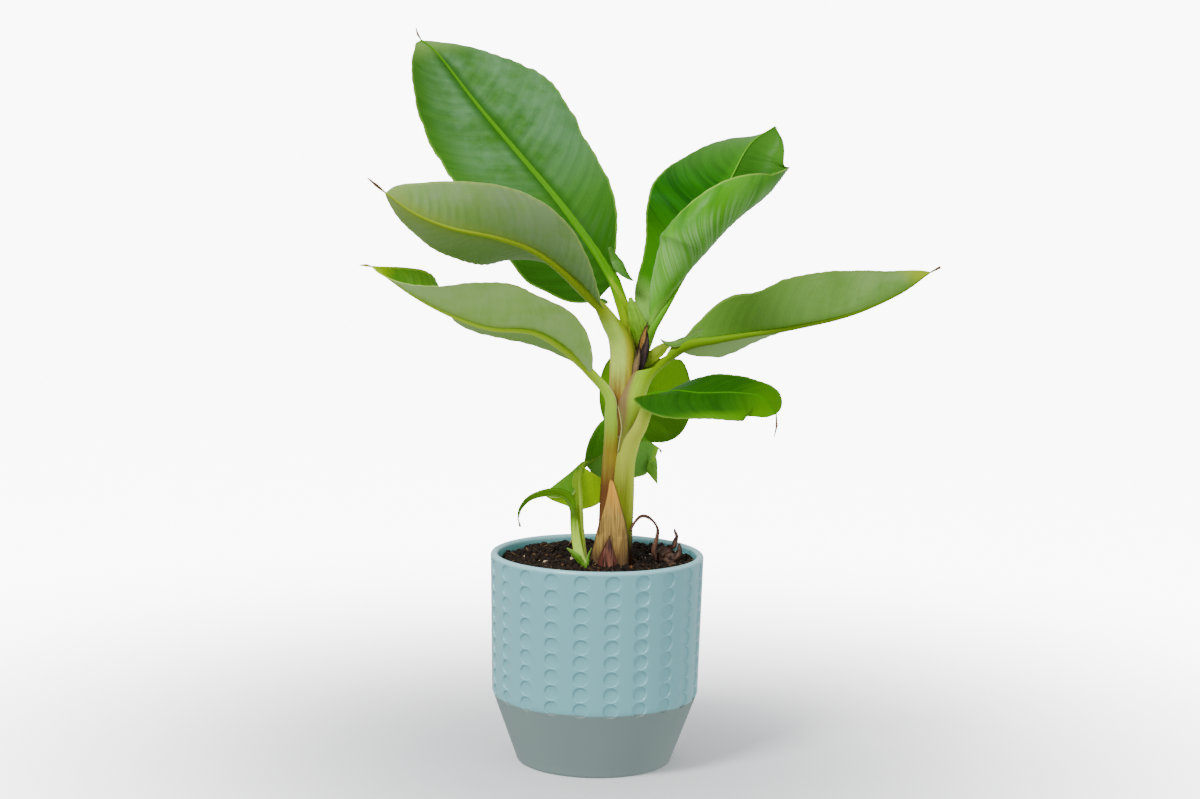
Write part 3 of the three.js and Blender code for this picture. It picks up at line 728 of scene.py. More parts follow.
# What each kind of leaf face looks like. Colours: two greens, waxy bloom, beside the midrib, margin, tip
plainLeaf = {
    "bloomShare": 0.1, "bloomAlong": (0, 0.01), "haloShare": 0.3, "bands": 0.4, "roughness": 0.5,
    "shine": 0.15, "tipFrom": 0.9,
}
leafLooks = {
    "bloomy": {
        "upper": {"colours": "#3a6e1a #225808 #6c9670 #225600 #6f9c34 #6c9640", "bloomShare": 0.6,
                  "bloomAlong": (0.22, 0.6), "haloShare": 0.85, "roughness": 0.45, "shine": 0.1,
                  # The darker tint toward the blade's base is painted shade, where leaf_2 hangs over leaf_1's
                  # lower part
                  "bareEdge": 36, "bases": [("#1f5400", 0.32, 0.12, 0.65)]},
        "lower": {"colours": "#6d9250 #557c3a #94a98a #6d9240 #93b060 #8aa92c", "bloomShare": 0.6,
                  "haloShare": 0.4, "shine": 0.2},
    },
    "greyUnder": {
        "upper": {"colours": "#3f7f1c #2c6410 #7a9c74 #2c6410 #8fb050 #a2bc30", "bloomShare": 0.5,
                  "haloShare": 0.7, "bands": 0.6, "roughness": 0.42, "shine": 0.2},
        "lower": {"colours": "#7ca64a #68943a #96ac86 #8ea83a #9fba60 #93b060", "bloomShare": 0.7,
                  "haloShare": 0.6, "bands": 0.35, "rightTint": ("#8ca464", 0.0, 0.6)},
    },
    "paleUnder": {
        "upper": {"colours": "#6aa40c #4c8a04 #83a860 #458202 #a4c838 #b4d008", "bloomShare": 0.25,
                  "haloShare": 0.6, "bands": 0.6, "roughness": 0.4},
        "lower": {"colours": "#92c452 #7eb040 #acd088 #8cb03c #a0bc5c #bcd010", "bloomShare": 0.6,
                  "haloShare": 0.5, "bands": 0.3, "rightTint": ("#5c8830", 0.0, 0.5)},
    },
    "rightUnder": {
        "upper": {"colours": "#4f9006 #3a7402 #83a860 #3a7402 #a4c838 #b4d008", "bloomShare": 0.2,
                  "haloShare": 0.6, "bands": 0.6, "roughness": 0.4},
        "lower": {"colours": "#7eb846 #6aa038 #b8e08c #64962c #8fb84c #c4e000", "bloomShare": 0.6,
                  "bloomAlong": (0.35, 0.9), "haloShare": 0.5, "bands": 0.35,
                  "bases": [("#548028", 0.62, 0.22, 0.85)], "rightTint": ("#94bc68", 0.85, 0.0)},
    },
    "glossy": {
        "upper": {"colours": "#1c6400 #0c4400 #4a8a38 #3a8a10 #7fac38 #4c8428", "bloomAlong": (0.6, 0.9),
                  "haloShare": 0.4, "bands": 0.8, "roughness": 0.3, "shine": 0.06, "tipFrom": 0.62,
                  "bases": [("#3c8400", 0.55, 0.35, 0.7), ("#84b450", 0.21, 0.09, 0.85)]},
        # The lower face's gleam is a painted highlight: pale streaks where a lamp's reflection lies across
        # the flap
        "lower": {"colours": "#4c9800 #347c00 #8ab878 #8cc04c #96c04a #5b9020", "bloomShare": 0.15,
                  "haloShare": 0.7, "bands": 0.8, "roughness": 0.25, "shine": 0.12, "gleam": "#c0e8a8",
                  "bases": [("#74b838", 0.44, 0.3, 0.4)], "gleamAcross": (8, 22, 62, 44)},
    },
    "saturated": {
        # The upper face's edge glow is painted light shining through the blade near its margin
        "upper": {"colours": "#205a00 #124200 #4f8430 #205a00 #5c8424 #4c8600", "bands": 0.7,
                  "roughness": 0.34, "shine": 0.06, "tipFrom": 0.6, "edgeGlow": "#549004"},
        "lower": {"colours": "#5a9400 #427800 #7a9e54 #5a9400 #86ac44 #9ab810", "bloomShare": 0.15,
                  "roughness": 0.42, "shine": 0.08},
    },
    "backLeaf": {
        # The upper face darkens from mid-blade to the tip: painted shade on the drooping end
        "upper": {"colours": "#60a400 #468800 #4f8430 #4c8c00 #4c7c14 #2c5c00", "bands": 0.6,
                  "roughness": 0.36, "shine": 0.06, "tipFrom": 0.5},
        # The lower face's yellow-green tint toward the base is painted light, the blade's top lit from behind
        "lower": {"colours": "#4a8000 #366400 #7a9e54 #4a8000 #5c8c24 #3c6c00", "roughness": 0.42,
                  "shine": 0.08, "bases": [("#88cc00", 0.85, 0.6, 0.7)]},
    },
    "suckerBack": {
        "upper": {"colours": "#4c9014 #347408 #74a850 #4c9014 #7cac3c #8cc020", "bloomShare": 0.4,
                  "bloomAlong": (0.4, 0.7), "bands": 0.5, "roughness": 0.36, "shine": 0.06,
                  "rightTint": ("#74ac4c", 0.0, 0.6)},
        "lower": {"colours": "#64a020 #4c8a10 #7a9e54 #64a020 #7cac3c #9cd020", "roughness": 0.42,
                  "shine": 0.08},
    },
    "young": {
        "upper": {"colours": "#60a014 #448408 #8cc060 #78b030 #a8c860 #9dba3a", "bloomShare": 0.15,
                  "bands": 0.6, "roughness": 0.32, "shine": 0.1},
        # The underside's yellow-greens are brighter than the leaf's own colour: painted light shining through
        # the thin blade
        "lower": {"colours": "#c8ff00 #a8ec00 #c4e050 #a8d800 #d4f048 #d0e820", "roughness": 0.38,
                  "shine": 0.1},
    },
}


# Living leaf: waxy skin over soft tissue, with fine side veins, and paler where the wax lies thick
def leafSkin(name, look):
    look = {**plainLeaf, **look}
    green, deep, bloom, halo, margin, tip = look["colours"].split()
    material, tree, skin = newMaterial(name, look["roughness"], look["shine"], IOR=1.4)
    place = addNode(tree, "ShaderNodeTexCoord").outputs["Object"]
    grain, (_, _, hand) = split(tree, "grain")
    toEdge, u, toRib = split(tree, "trim")[1]
    bands = streaked(tree, grain, (0.14, 0.012, 1), detail=3)
    veins = streaked(tree, grain, (0.9, 0.012, 1), detail=2)
    clouds = streaked(tree, place, (26, 26, 26), detail=5, roughness=0.6)
    smears = streaked(tree, grain, (0.32, 0.03, 1), detail=4, roughness=0.65)
    smeared = addNode(tree, "ShaderNodeMapRange", {
        "Value": smears, "From Min": 0.3, "From Max": 0.7, "To Min": 0.7, "To Max": 1.0,
    }).outputs[0]
    wax = masked(tree, clouds, 0.3, 0.66, smeared)
    reach = masked(tree, u, *look["bloomAlong"], look["bloomShare"])
    if "bareEdge" in look:
        inner = {0: masked(tree, toEdge, 4, look["bareEdge"]), 1: masked(tree, hand, -1, 1)}
        inner = addNode(tree, "ShaderNodeMath", inner, operation="MAXIMUM").outputs[0]
        reach = addNode(tree, "ShaderNodeMath", {0: reach, 1: inner}, operation="MULTIPLY").outputs[0]
    waxed = addNode(tree, "ShaderNodeMath", {0: wax, 1: reach}, operation="MULTIPLY").outputs[0]
    layers = [
        (deep, masked(tree, bands, 0.64, 0.34, look["bands"])),
        (deep, masked(tree, veins, 0.52, 0.72, 0.35)),
        (bloom, waxed),
    ]
    layers += [(tint, masked(tree, u, *where)) for tint, *where in look.get("bases", [])]
    if "rightTint" in look:
        tint, leftShare, rightShare = look["rightTint"]
        share = addNode(tree, "ShaderNodeMapRange", {
            "Value": masked(tree, hand, -1, 1), "To Min": leftShare, "To Max": rightShare,
        }).outputs[0]
        layers.append((tint, share))
    # Painted light: a yellower band along the right half's margin, from mid-blade on, standing in for light
    # shining through the leaf
    if "edgeGlow" in look:
        outward = masked(tree, u, 0.3, 0.6, masked(tree, hand, -1, 1, 0.8))
        layers.append((look["edgeGlow"], masked(tree, toEdge, 14, 2, outward)))
    layers.append((halo, masked(tree, toRib, 10, 2, look["haloShare"])))
    # Painted highlight: pale streaks along the veins, in a band across the blade where a lamp's reflection
    # lies
    if "gleam" in look:
        start, full, end, fade = look["gleamAcross"]
        lines = masked(tree, veins, 0.3, 0.78, 0.36)
        band = masked(tree, toRib, start, full, masked(tree, toRib, end, fade, lines))
        layers.append((look["gleam"], band))
    layers.append((margin, masked(tree, toEdge, 2.5, 0.6, 0.7)))
    layers.append((tip, masked(tree, u, look["tipFrom"], 0.985, 0.85)))
    rough = addNode(tree, "ShaderNodeMapRange", {
        "Value": wax, "To Min": look["roughness"], "To Max": look["roughness"] + 0.15,
    }).outputs[0]
    tree.links.new(rough, skin.inputs["Roughness"])
    colour = layered(tree, linear(green), *layers)
    dressed(tree, skin, colour, (veins, 0.3, 0.0004), (bands, 0.35, 0.0014))
    return material


def outline(half, u):
    rise = np.clip(1 - u / half["widest"], 0, 1)
    fall = np.clip((u - half["widest"]) / (1 - half["widest"]), 0, 1)
    return np.where(u < half["widest"], (1 - rise ** half["base"]) ** (1 / half["base"]),
                    (1 - fall ** half["tip"]) ** (1 / half["tip"]))


def bladeStations(blade, steps):
    return stationsAlong(blade["rib"], blade["azimuth"], blade["roll"], steps)


def makeBlade(name, blade, seed):
    length = smoothPath(blade["rib"], 4)[1]
    s = bladeStations(blade, max(sheet["fewestSteps"], int(length / sheet["stepLength"])))
    u = s["u"]
    strips = sheet["strips"] if length > sheet["shortLength"] else sheet["shortStrips"]
    halves = {hand: dict(zip(halfParts, blade[side])) for hand, side in ((-1, "left"), (1, "right"))}
    upper, lower, grain, trim = [], [], [], []
    for j in range(-strips, strips + 1):
        hand = -1 if j < 0 else 1
        half = halves[hand]
        share = (abs(j) / strips) ** sheet["crowd"]
        stalk = blade["stalk"] + (sheet["tipShare"] - blade["stalk"]) * np.minimum(1, 2 * u)
        ragged = 1 + blade["ragged"] * wobble(u * length / sheet["raggedStep"], seed=seed + hand)
        width = np.hypot(half["width"] * outline(half, u) * ragged, stalk)
        fold = np.radians(along(half["fold"], u))
        curl = np.radians(along(half["curl"], u))
        curl = np.where(np.abs(curl) < 1e-3, 1e-3, curl)
        turn = fold + curl * share
        out = (width * (np.sin(turn) - np.sin(fold)) / curl)[:, None]
        rise = (width * (np.cos(fold) - np.cos(turn)) / curl)[:, None]
        normal = s["normal"] * np.cos(turn)[:, None] - hand * s["side"] * np.sin(turn)[:, None]
        point = s["path"] + hand * s["side"] * out + s["normal"] * rise
        lobe = half.get("lobe", 0) * (share * (1 - u)) ** 2 * np.clip(width / half["width"], 0, 1)
        point = point - s["tangent"] * lobe[:, None]
        across = width * share
        vein = u * length - sheet["lean"] * across - sheet["sweep"] * share ** 3
        fade = np.clip(across / sheet["fadeWidth"], 0, 1) * np.clip((1 - u) * sheet["fadeWidth"], 0, 1)
        drift = sheet["drift"] * wobble(vein / sheet["driftStep"], seed=seed + 5 * hand)
        pleats = np.sin(2 * math.pi * (vein / blade["pleat"] + drift))
        waves = wobble(u * length / sheet["waveStep"], share, seed=seed + 9 + hand)
        waves = waves + 0.5 * wobble(u * length / sheet["raggedStep"], seed=seed + 3)
        lift = (blade["ripple"] * pleats * fade + blade["waver"] * share ** 2 * waves * fade)[:, None]
        point = point + normal * lift
        upper.append(point + normal * sheet["thickness"] / 2)
        lower.append(point - normal * sheet["thickness"] / 2)
        grain.append(np.stack([vein, hand * across, np.full_like(u, hand * 50.0)], 1))
        trim.append(np.stack([width - across, u, across], 1))
    columns = len(upper)
    rows = ringed(np.stack(upper, 1), np.stack(lower, 1))
    count = rows.shape[1]
    paint = [0 if j < columns - 1 else 1 for j in range(count)] * (len(u) - 1)
    paint += [1] * (2 * (count // 2 - 1))
    sharp = [(i * count + j, (i + 1) * count + j) for i in range(len(u) - 1)
             for j in (0, columns - 1, columns, count - 1)]
    piece = loftPiece(name.replace("_", "") + "Blade", rows, ringed(np.stack(grain, 1)),
                      ringed(np.stack(trim, 1)), leafSkins[blade["skin"]], paint, sharp)
    return finished(piece, [name])


leafSkins = {
    kind: [leafSkin(kind + "LeafTop", faces["upper"]), leafSkin(kind + "LeafUnderside", faces["lower"])]
    for kind, faces in leafLooks.items()
}
for seed, (name, blade) in enumerate(blades.items()):
    makeBlade(name, blade, seed)
print("leaf blades ready")


# Stalks: each sheath or stalk is a channel open towards the trunk, and runs on under its leaf as the midrib
stemShape = {
    "stepLength": 2.0, "arc": 26, "ridge": 0.2, "ridges": 2.2, "rimWidth": 0.75, "wall": 0.16,
    "lastOpen": 158, "lastGroove": 0.1, "tailRadius": 1.2, "easeFrom": 0.45, "ribStep": 3.2, "blend": 0.15,
}
stalks = {
    "petiole_1": {
        "spine": [(19, 3, 288), (20.5, 3.5, 318), (18, 8, 335)], "leaf": "leaf_1", "azimuth": 140,
        "wide": (8, 6.2, 5, 4.6), "deep": (8, 6, 5, 4.3),
        "open": (140, 145, 150, 158), "groove": (0.2, 0.1, 0.0),
        "wideRib": (4.6, 3.5, 2.6, 1.9, 1.1, 0.6), "deepRib": (4.3, 2.6, 1.9, 1.4, 0.8, 0.5), "proud": 1.2,
        "skin": "brightStalk",
    },
    "petiole_2": {
        "spine": [(16.3, -0.4, 248), (17.4, -0.6, 275), (17.2, -1, 305), (13.8, -3, 320), (7, -9, 331)],
        "leaf": "leaf_2", "azimuth": 215,
        "wide": (10.3, 10.8, 11.3, 10.6, 7.6, 4.4), "deep": (10.3, 10.8, 11.0, 9.8, 7.0, 4.2),
        "open": (118, 118, 118, 120, 140, 155), "groove": (0.8, 0.8, 0.7, 0.5, 0.2, 0.1),
        "wideRib": (4.4, 3.2, 2.4, 1.8, 1.1, 0.6), "deepRib": (4.2, 2.5, 1.8, 1.3, 0.8, 0.5), "proud": 0.4,
        "skin": "topSheath",
    },
    "petiole_3": {
        "spine": [(9, -1, 146), (9.5, -2.5, 200), (10, -4, 240), (9, -7, 262), (6.5, -11.5, 279)],
        "leaf": "leaf_3", "azimuth": 215,
        "wide": (8.5, 8, 8, 6.7, 4.6, 3.6), "deep": (10, 9, 8, 6.5, 4.4, 3.6),
        "open": (112, 108, 104, 98, 110, 140), "groove": (0.8, 0.8, 0.8, 0.75, 0.5, 0.15),
        "wideRib": (3.6, 2.9, 2.3, 1.7, 1.1, 0.6), "deepRib": (3.6, 2.3, 1.7, 1.2, 0.8, 0.5), "proud": 0.4,
        "skin": "leftSheath",
    },
    "petiole_4": {
        "spine": [(24, 4, 276), (27, 5, 296), (30, 5.5, 308)], "leaf": "leaf_4", "azimuth": 15,
        "wide": (7.5, 6.6, 5.6, 4.6), "deep": (7.5, 6.4, 5.4, 4.4),
        "open": (105, 100, 100, 120), "groove": (0.8, 0.8, 0.7, 0.4),
        "wideRib": (4.2, 2.0, 1.2, 0.9, 0.7, 0.5), "deepRib": (4.0, 1.3, 0.7, 0.6, 0.5, 0.4), "proud": 0.3,
        "skin": "glossyStalk",
    },
    "petiole_5": {
        "spine": [(19, -2.5, 236), (22, -4.5, 262), (23.5, -5, 276), (31, -7, 292), (43, -9.5, 303)],
        "leaf": "leaf_5", "azimuth": -15,
        "wide": (10.6, 11, 10.8, 8.4, 5.6, 4.4), "deep": (10.6, 11, 10.8, 8.4, 5.4, 4.2),
        "open": (112, 108, 112, 132, 138, 140),
        "front": (106, 104, 103, 118, 140, 150, 146, 90, 52, 62, 140),
        "groove": (0.85, 0.85, 0.9, 0.9, 0.7, 0.15),
        "wideRib": (4.3, 3.0, 2.2, 1.6, 1.0, 0.6), "deepRib": (4.1, 2.4, 1.6, 1.1, 0.8, 0.5), "proud": 0.4,
        "skin": "rightSheath",
    },
    "petiole_6": {
        "spine": [(16, -3, 146), (17, -3.5, 200), (18.6, -4.5, 226), (23.8, -10, 245), (30, -18, 257)],
        "leaf": "leaf_6", "azimuth": -42,
        "wide": (10.5, 9.9, 9.7, 8, 5.6, 3.6), "deep": (10.5, 9.9, 9.7, 8, 5.6, 3.6),
        "open": (118, 112, 104, 94, 108, 145), "front": (128, 125, 120, 106, 110, 145),
        "groove": (0.8, 0.8, 0.8, 0.75, 0.5, 0.15),
        "wideRib": (3.4, 1.6, 1.2, 1.0, 0.7, 0.5), "deepRib": (3.4, 1.5, 1.0, 0.8, 0.6, 0.5), "proud": 0.6,
        "skin": "frontSheath",
    },
    "petiole_7": {
        "spine": [(19, 7, 236), (20, 9, 258), (22, 14, 273)], "leaf": "leaf_7", "azimuth": 80,
        "wide": (7.5, 6.5, 5, 3.2), "deep": (6.5, 5.6, 4.6, 3.2),
        "open": (112, 105, 115, 145), "groove": (0.8, 0.7, 0.4, 0.15),
        "wideRib": (3.2, 2.0, 1.5, 1.1, 0.8, 0.5), "deepRib": (3.2, 1.7, 1.2, 0.9, 0.7, 0.5), "proud": 0.4,
        "skin": "rightSheath",
    },
    "sucker_stem": {
        "spine": [(-8, -9, 146), (-12.8, -9, 158.6), (-17, -8.5, 181.9)], "leaf": "sucker_leaf_3",
        "azimuth": 190,
        "wide": (4.6, 4.4, 4.2, 2.4), "deep": (4.6, 4.6, 4.2, 2.4),
        "open": (125, 115, 110, 140), "groove": (0.6, 0.6, 0.6, 0.2),
        "wideRib": (2.2, 1.3, 1.0, 0.8, 0.6, 0.4), "deepRib": (2.2, 1.1, 0.8, 0.6, 0.5, 0.4), "proud": 0.4,
        "skin": "suckerStem",
    },
    "sucker_petiole": {
        "spine": [(-9, 3, 146), (-12, 3, 163), (-14.4, 3, 181), (-15.6, 3.5, 196), (-16, 6, 213),
                  (-12.5, 12, 221)],
        "leaf": "sucker_leaf_2", "azimuth": 60,
        "wide": (3.2, 3.2, 3.6, 4.2, 4.3, 3.4, 2.3), "deep": (3, 3, 3.2, 3.6, 3.6, 3, 2.3),
        "open": (130, 130, 140, 150), "groove": (0.4, 0.4, 0.2, 0.1),
        "wideRib": (2.2, 1.2, 1.0, 0.8, 0.6, 0.4), "deepRib": (2.2, 1.1, 0.8, 0.7, 0.5, 0.4), "proud": 0.4,
        "skin": "suckerStalk",
    },
}
# Leaf-sheath looks. Colours: foot, waist, top, stain, rim, lining, midrib and its tip; the first three follow
# the heights. Tints lie along one side: colour, where it starts and is full round the sheath, and how strong
plainStalk = {"stainShare": 0.5, "tints": []}
stalkLooks = {
    "brightStalk": {
        "colours": "#6c6c20 #84a800 #689c00 #5c4028 #a4c040 #80a810 #4a8a00 #6d5a2c", "heights": (318, 352),
        "stainShare": 0.4,
    },
    "topSheath": {
        "colours": "#94702c #bcb42c #8cb408 #7a5238 #98982c #8ea23c #9cb424 #5a3d2a", "heights": (272, 336),
        "stainShare": 0.4,
        # The first tint is a painted highlight down the sheath's lit left face
        "tints": [("#ccf468", -15, -9, 0.75), ("#b8a830", 1, 4.5, 0.8), ("#6c7820", -14, -20, 0.85)],
    },
    "leftSheath": {
        "colours": "#744a28 #a8942c #c0f444 #7c4c3c #d8d898 #8a5c5c #a8cc2c #8f8a3a", "heights": (206, 264),
        "stainShare": 0.4, "tints": [("#809c10", 1.0, 5.0, 0.6), ("#b8a63c", -9, -13, 0.4)],
    },
    "rightSheath": {
        "colours": "#8c9a34 #acd830 #80b000 #7e6048 #d4da84 #7ca000 #6c9408 #6a4a30", "heights": (245, 306),
        "stainShare": 0.45, "tints": [("#8c6450", 12.5, 19, 0.9)],
    },
    "frontSheath": {
        "colours": "#2c180c #7c8820 #ccd84c #66482c #a89c68 #7d5a4a #3c8000 #7a5a3a", "heights": (160, 240),
        # The first tint is a painted highlight; the second darkens the sheath towards its right side
        "tints": [("#dcf840", 5, -1, 0.55), ("#687c24", -3.5, -7.5, 0.85), ("#a08448", 12, 18, 0.6)],
    },
    "glossyStalk": {
        "colours": "#8aa850 #84b040 #64981c #5c4028 #8cb040 #6fa020 #64a820 #4a7a10", "heights": (276, 330),
        "stainShare": 0.15,
    },
    "suckerStem": {
        "colours": "#e4ff7c #ccf450 #78ac1c #86ae24 #c4e460 #8cb424 #68942c #7a8a48", "heights": (150, 186),
    },
    "suckerStalk": {
        "colours": "#e4ff7c #d8fc58 #a4d430 #86ae24 #c4e460 #8cb424 #68942c #7a8a48", "heights": (148, 215),
    },
}


# Fleshy leaf sheath: smooth and satin, streaked along its fibres, with a thin papery rim
def stalkSkin(name, look):
    look = {**plainStalk, **look}
    foot, waist, top, stain, rim, lining, rib, tip = look["colours"].split()
    material, tree, skin = newMaterial(name, 0.42, 0.1, IOR=1.4)
    place, (_, _, height) = split(tree)
    grain, (_, around, _) = split(tree, "grain")
    toRim, inside, ribShare = split(tree, "trim")[1]
    low, high = [h * mm for h in look["heights"]]
    middle = (low + high) / 2
    streaks = streaked(tree, grain, (0.018, 0.42, 1), detail=4)
    fibres = streaked(tree, grain, (0.05, 2.6, 1), detail=2)
    clouds = streaked(tree, place, (110, 110, 40), detail=4)
    drifted = []
    for value, reach in ((height, 0.03), (around, 5.0)):
        moved = {0: streaks, 1: reach, 2: value}
        moved = addNode(tree, "ShaderNodeMath", moved, operation="MULTIPLY_ADD").outputs[0]
        moved = addNode(tree, "ShaderNodeMath", {0: moved, 1: reach / 2}, operation="SUBTRACT").outputs[0]
        drifted.append(moved)
    up, across = drifted
    colour = layered(
        tree, linear(waist),
        (top, masked(tree, up, middle, high)),
        (rim, masked(tree, streaks, 0.56, 0.74, 0.15)),
        *[(tint, masked(tree, across, *where)) for tint, *where in look["tints"]],
        (foot, masked(tree, up, middle, low)),
        (stain, masked(tree, clouds, 0.48, 0.7, masked(tree, height, high, low, look["stainShare"]))),
        (stain, masked(tree, fibres, 0.6, 0.75, 0.14)),
        (rib, masked(tree, ribShare, 0.02, 0.1)),
        (lining, inside),
        (rim, masked(tree, toRim, stemShape["rimWidth"] * 1.4, stemShape["rimWidth"] * 0.6)),
        (tip, masked(tree, ribShare, 0.97, 1.03)),
    )
    dressed(tree, skin, colour, (fibres, 0.3, 0.0004))
    return material


# Rings of a channel: the outer arc from rim to rim, then the inside back. Its two sides may reach unevenly
def channelRings(s, wide, deep, open_, front, groove, seed, shift):
    share = np.linspace(-1, 1, stemShape["arc"])
    half = np.where(share < 0, np.radians(open_)[:, None], np.radians(front)[:, None])
    angle = half * share
    run, w, d, g = s["along"][:, None], wide[:, None], deep[:, None], groove[:, None]
    ridge = stemShape["ridge"] * wobble(angle * stemShape["ridges"] * 2, run / 45, seed=seed)
    ridge = ridge * np.clip(w / 5, 0.1, 1)
    outerX = (w + ridge) * np.sin(angle)
    outerY = -(d + ridge) * np.cos(angle)
    across = (share + 1) / 2
    chordX = outerX[:, :1] * (1 - across) + outerX[:, -1:] * across
    chordY = outerY[:, :1] * (1 - across) + outerY[:, -1:] * across
    wall = stemShape["wall"] * (1 - 0.6 * np.abs(share) ** 3)
    innerX = chordX * (1 - g) + g * (1 - wall) * w * np.sin(angle)
    innerY = chordY * (1 - g) - g * (1 - wall) * d * np.cos(angle)
    x = ringed(outerX, innerX)
    y = ringed(outerY, innerY) + shift[:, None]
    around = ringed(angle * w, 60 + angle * w)
    toRim = ringed((half - np.abs(angle)) * w)
    inside = ringed(np.zeros_like(angle), np.ones_like(angle)) * np.clip(toRim / 1.2, 0, 1)
    grain = np.stack([np.broadcast_to(run, x.shape), around, np.zeros_like(x)], -1)
    return offPath(s, x, y), grain, toRim, inside


def makeStalk(node, stalk, seed):
    blade = blades[stalk["leaf"]]
    spine = stalk["spine"] + [blade["rib"][0]]
    steps = max(6, int(smoothPath(spine, 4)[1] / stemShape["stepLength"]))
    first = stemShape["easeFrom"]

    def eased(start, end):
        return lambda u: start + (end - start) * np.clip((u - first) / (1 - first), 0, 1) ** 2

    roll = float(along(blade["roll"], np.zeros(1))[0])
    lower = stationsAlong(spine, eased(stalk["azimuth"], blade["azimuth"]), eased(0, roll), steps)
    ribSteps = max(20, int(smoothPath(blade["rib"], 4)[1] / stemShape["ribStep"]))
    upper = bladeStations(blade, ribSteps)
    tail = [np.asarray(p, float) for p in blade["tail"]]
    s = {key: np.vstack([lower[key], upper[key][1:]] + [upper[key][-1:]] * len(tail))
         for key in ("side", "normal", "path")}
    for i, place in enumerate(tail):
        s["path"][len(s["path"]) - len(tail) + i] = place
    s["along"] = runLengths(s["path"])
    u, ribU, count = lower["u"], upper["u"][1:], len(tail)
    thin = stemShape["tailRadius"] * np.linspace(0.9, 0.35, count)
    wide, deep = [np.r_[along(stalk[key], u), along(stalk[key + "Rib"], ribU), thin]
                  for key in ("wide", "deep")]
    reach = np.clip(ribU / stemShape["blend"], 0, 1)

    def closing(key, last):
        here = along(stalk[key], np.ones(1))[0]
        return np.r_[along(stalk[key], u), here + (last - here) * reach, [last] * count]

    open_ = closing("open", stemShape["lastOpen"])
    groove = closing("groove", stemShape["lastGroove"])
    rise = -deep * np.cos(np.radians(open_))
    sink = np.r_[np.zeros(len(u)), reach, np.zeros(count)] * (stalk["proud"] - rise)
    front = open_.copy()
    if "front" in stalk:
        front[:len(u)] = along(stalk["front"], u)
    rings, grain, toRim, inside = channelRings(s, wide, deep, open_, front, groove, seed, sink)
    ribShare = np.r_[np.zeros(len(u)), 0.02 + 0.94 * ribU, [1.05] * count]
    onRib = np.clip(ribShare * 20, 0, 1)[:, None]
    inside = inside * np.clip(1 - ribShare * 20, 0, 1)[:, None]
    toRim = toRim + 5 * onRib + 5 * np.clip((open_ - 122) / 12, 0, 1)[:, None]
    nearRib = np.clip((u - 0.75) / 0.25, 0, 1)
    ribTint = np.r_[0.1 * nearRib, 0.1 + 0.87 * ribU, [1.05] * count]
    trim = np.stack([toRim, inside, np.broadcast_to(ribTint[:, None], toRim.shape)], -1)
    ringCount, arc = rings.shape[1], stemShape["arc"]
    sharp = [(i * ringCount + j, (i + 1) * ringCount + j) for i in range(len(u))
             for j in (0, arc - 1, arc, ringCount - 1)]
    skins = [stalkSkins[stalk["skin"]]]
    piece = loftPiece(node.replace("_", "") + "Stalk", rings, grain, trim, skins, sharp=sharp)
    return finished(piece, [node])


stalkSkins = {kind: stalkSkin(kind + "Skin", look) for kind, look in stalkLooks.items()}
for seed, (node, stalk) in enumerate(stalks.items()):
    makeStalk(node, stalk, seed)
print("stalks ready")


# The false stem inside the sheaths, from the soil to the fork
trunk = {
    "spine": [(9.5, 0, 146), (12.5, 0, 170), (14.5, 0, 200), (16, 0, 236), (17.5, 0, 275), (18, 0, 310),
              (18, 0, 322)],
    "wide": (15, 11.8, 10, 9.8, 9.9, 9.6, 4), "steps": 90, "spokes": 48, "ridge": 0.35,
    "look": {
        "colours": "#5c342c #8a6040 #a3944c #7a4c48 #b8a878 #8a6c56 #a3a055 #a3a055",
        "heights": (150, 300), "stainShare": 0.6,
    },
}


def makeTrunk():
    s = stationsAlong(trunk["spine"], 0, 0, trunk["steps"])
    run = (s["u"] * s["length"])[:, None]
    angle = np.linspace(0, 2 * math.pi, trunk["spokes"], endpoint=False)
    ridge = trunk["ridge"] * wobble(np.cos(angle)[None] * 3, np.sin(angle)[None] * 3, run / 40, seed=4)
    radius = along(trunk["wide"], s["u"])[:, None] + ridge
    none = np.zeros_like(radius)
    grain = np.stack([run + none, angle * 11 + none, none], -1)
    trim = np.stack([none + 9, none, none], -1)
    rings = offPath(s, radius * np.cos(angle), radius * np.sin(angle))
    piece = loftPiece("falseStem", rings, grain, trim, [stalkSkin("innerSheathSkin", trunk["look"])])
    return finished(piece, ["trunk"])


makeTrunk()
print("trunk ready")


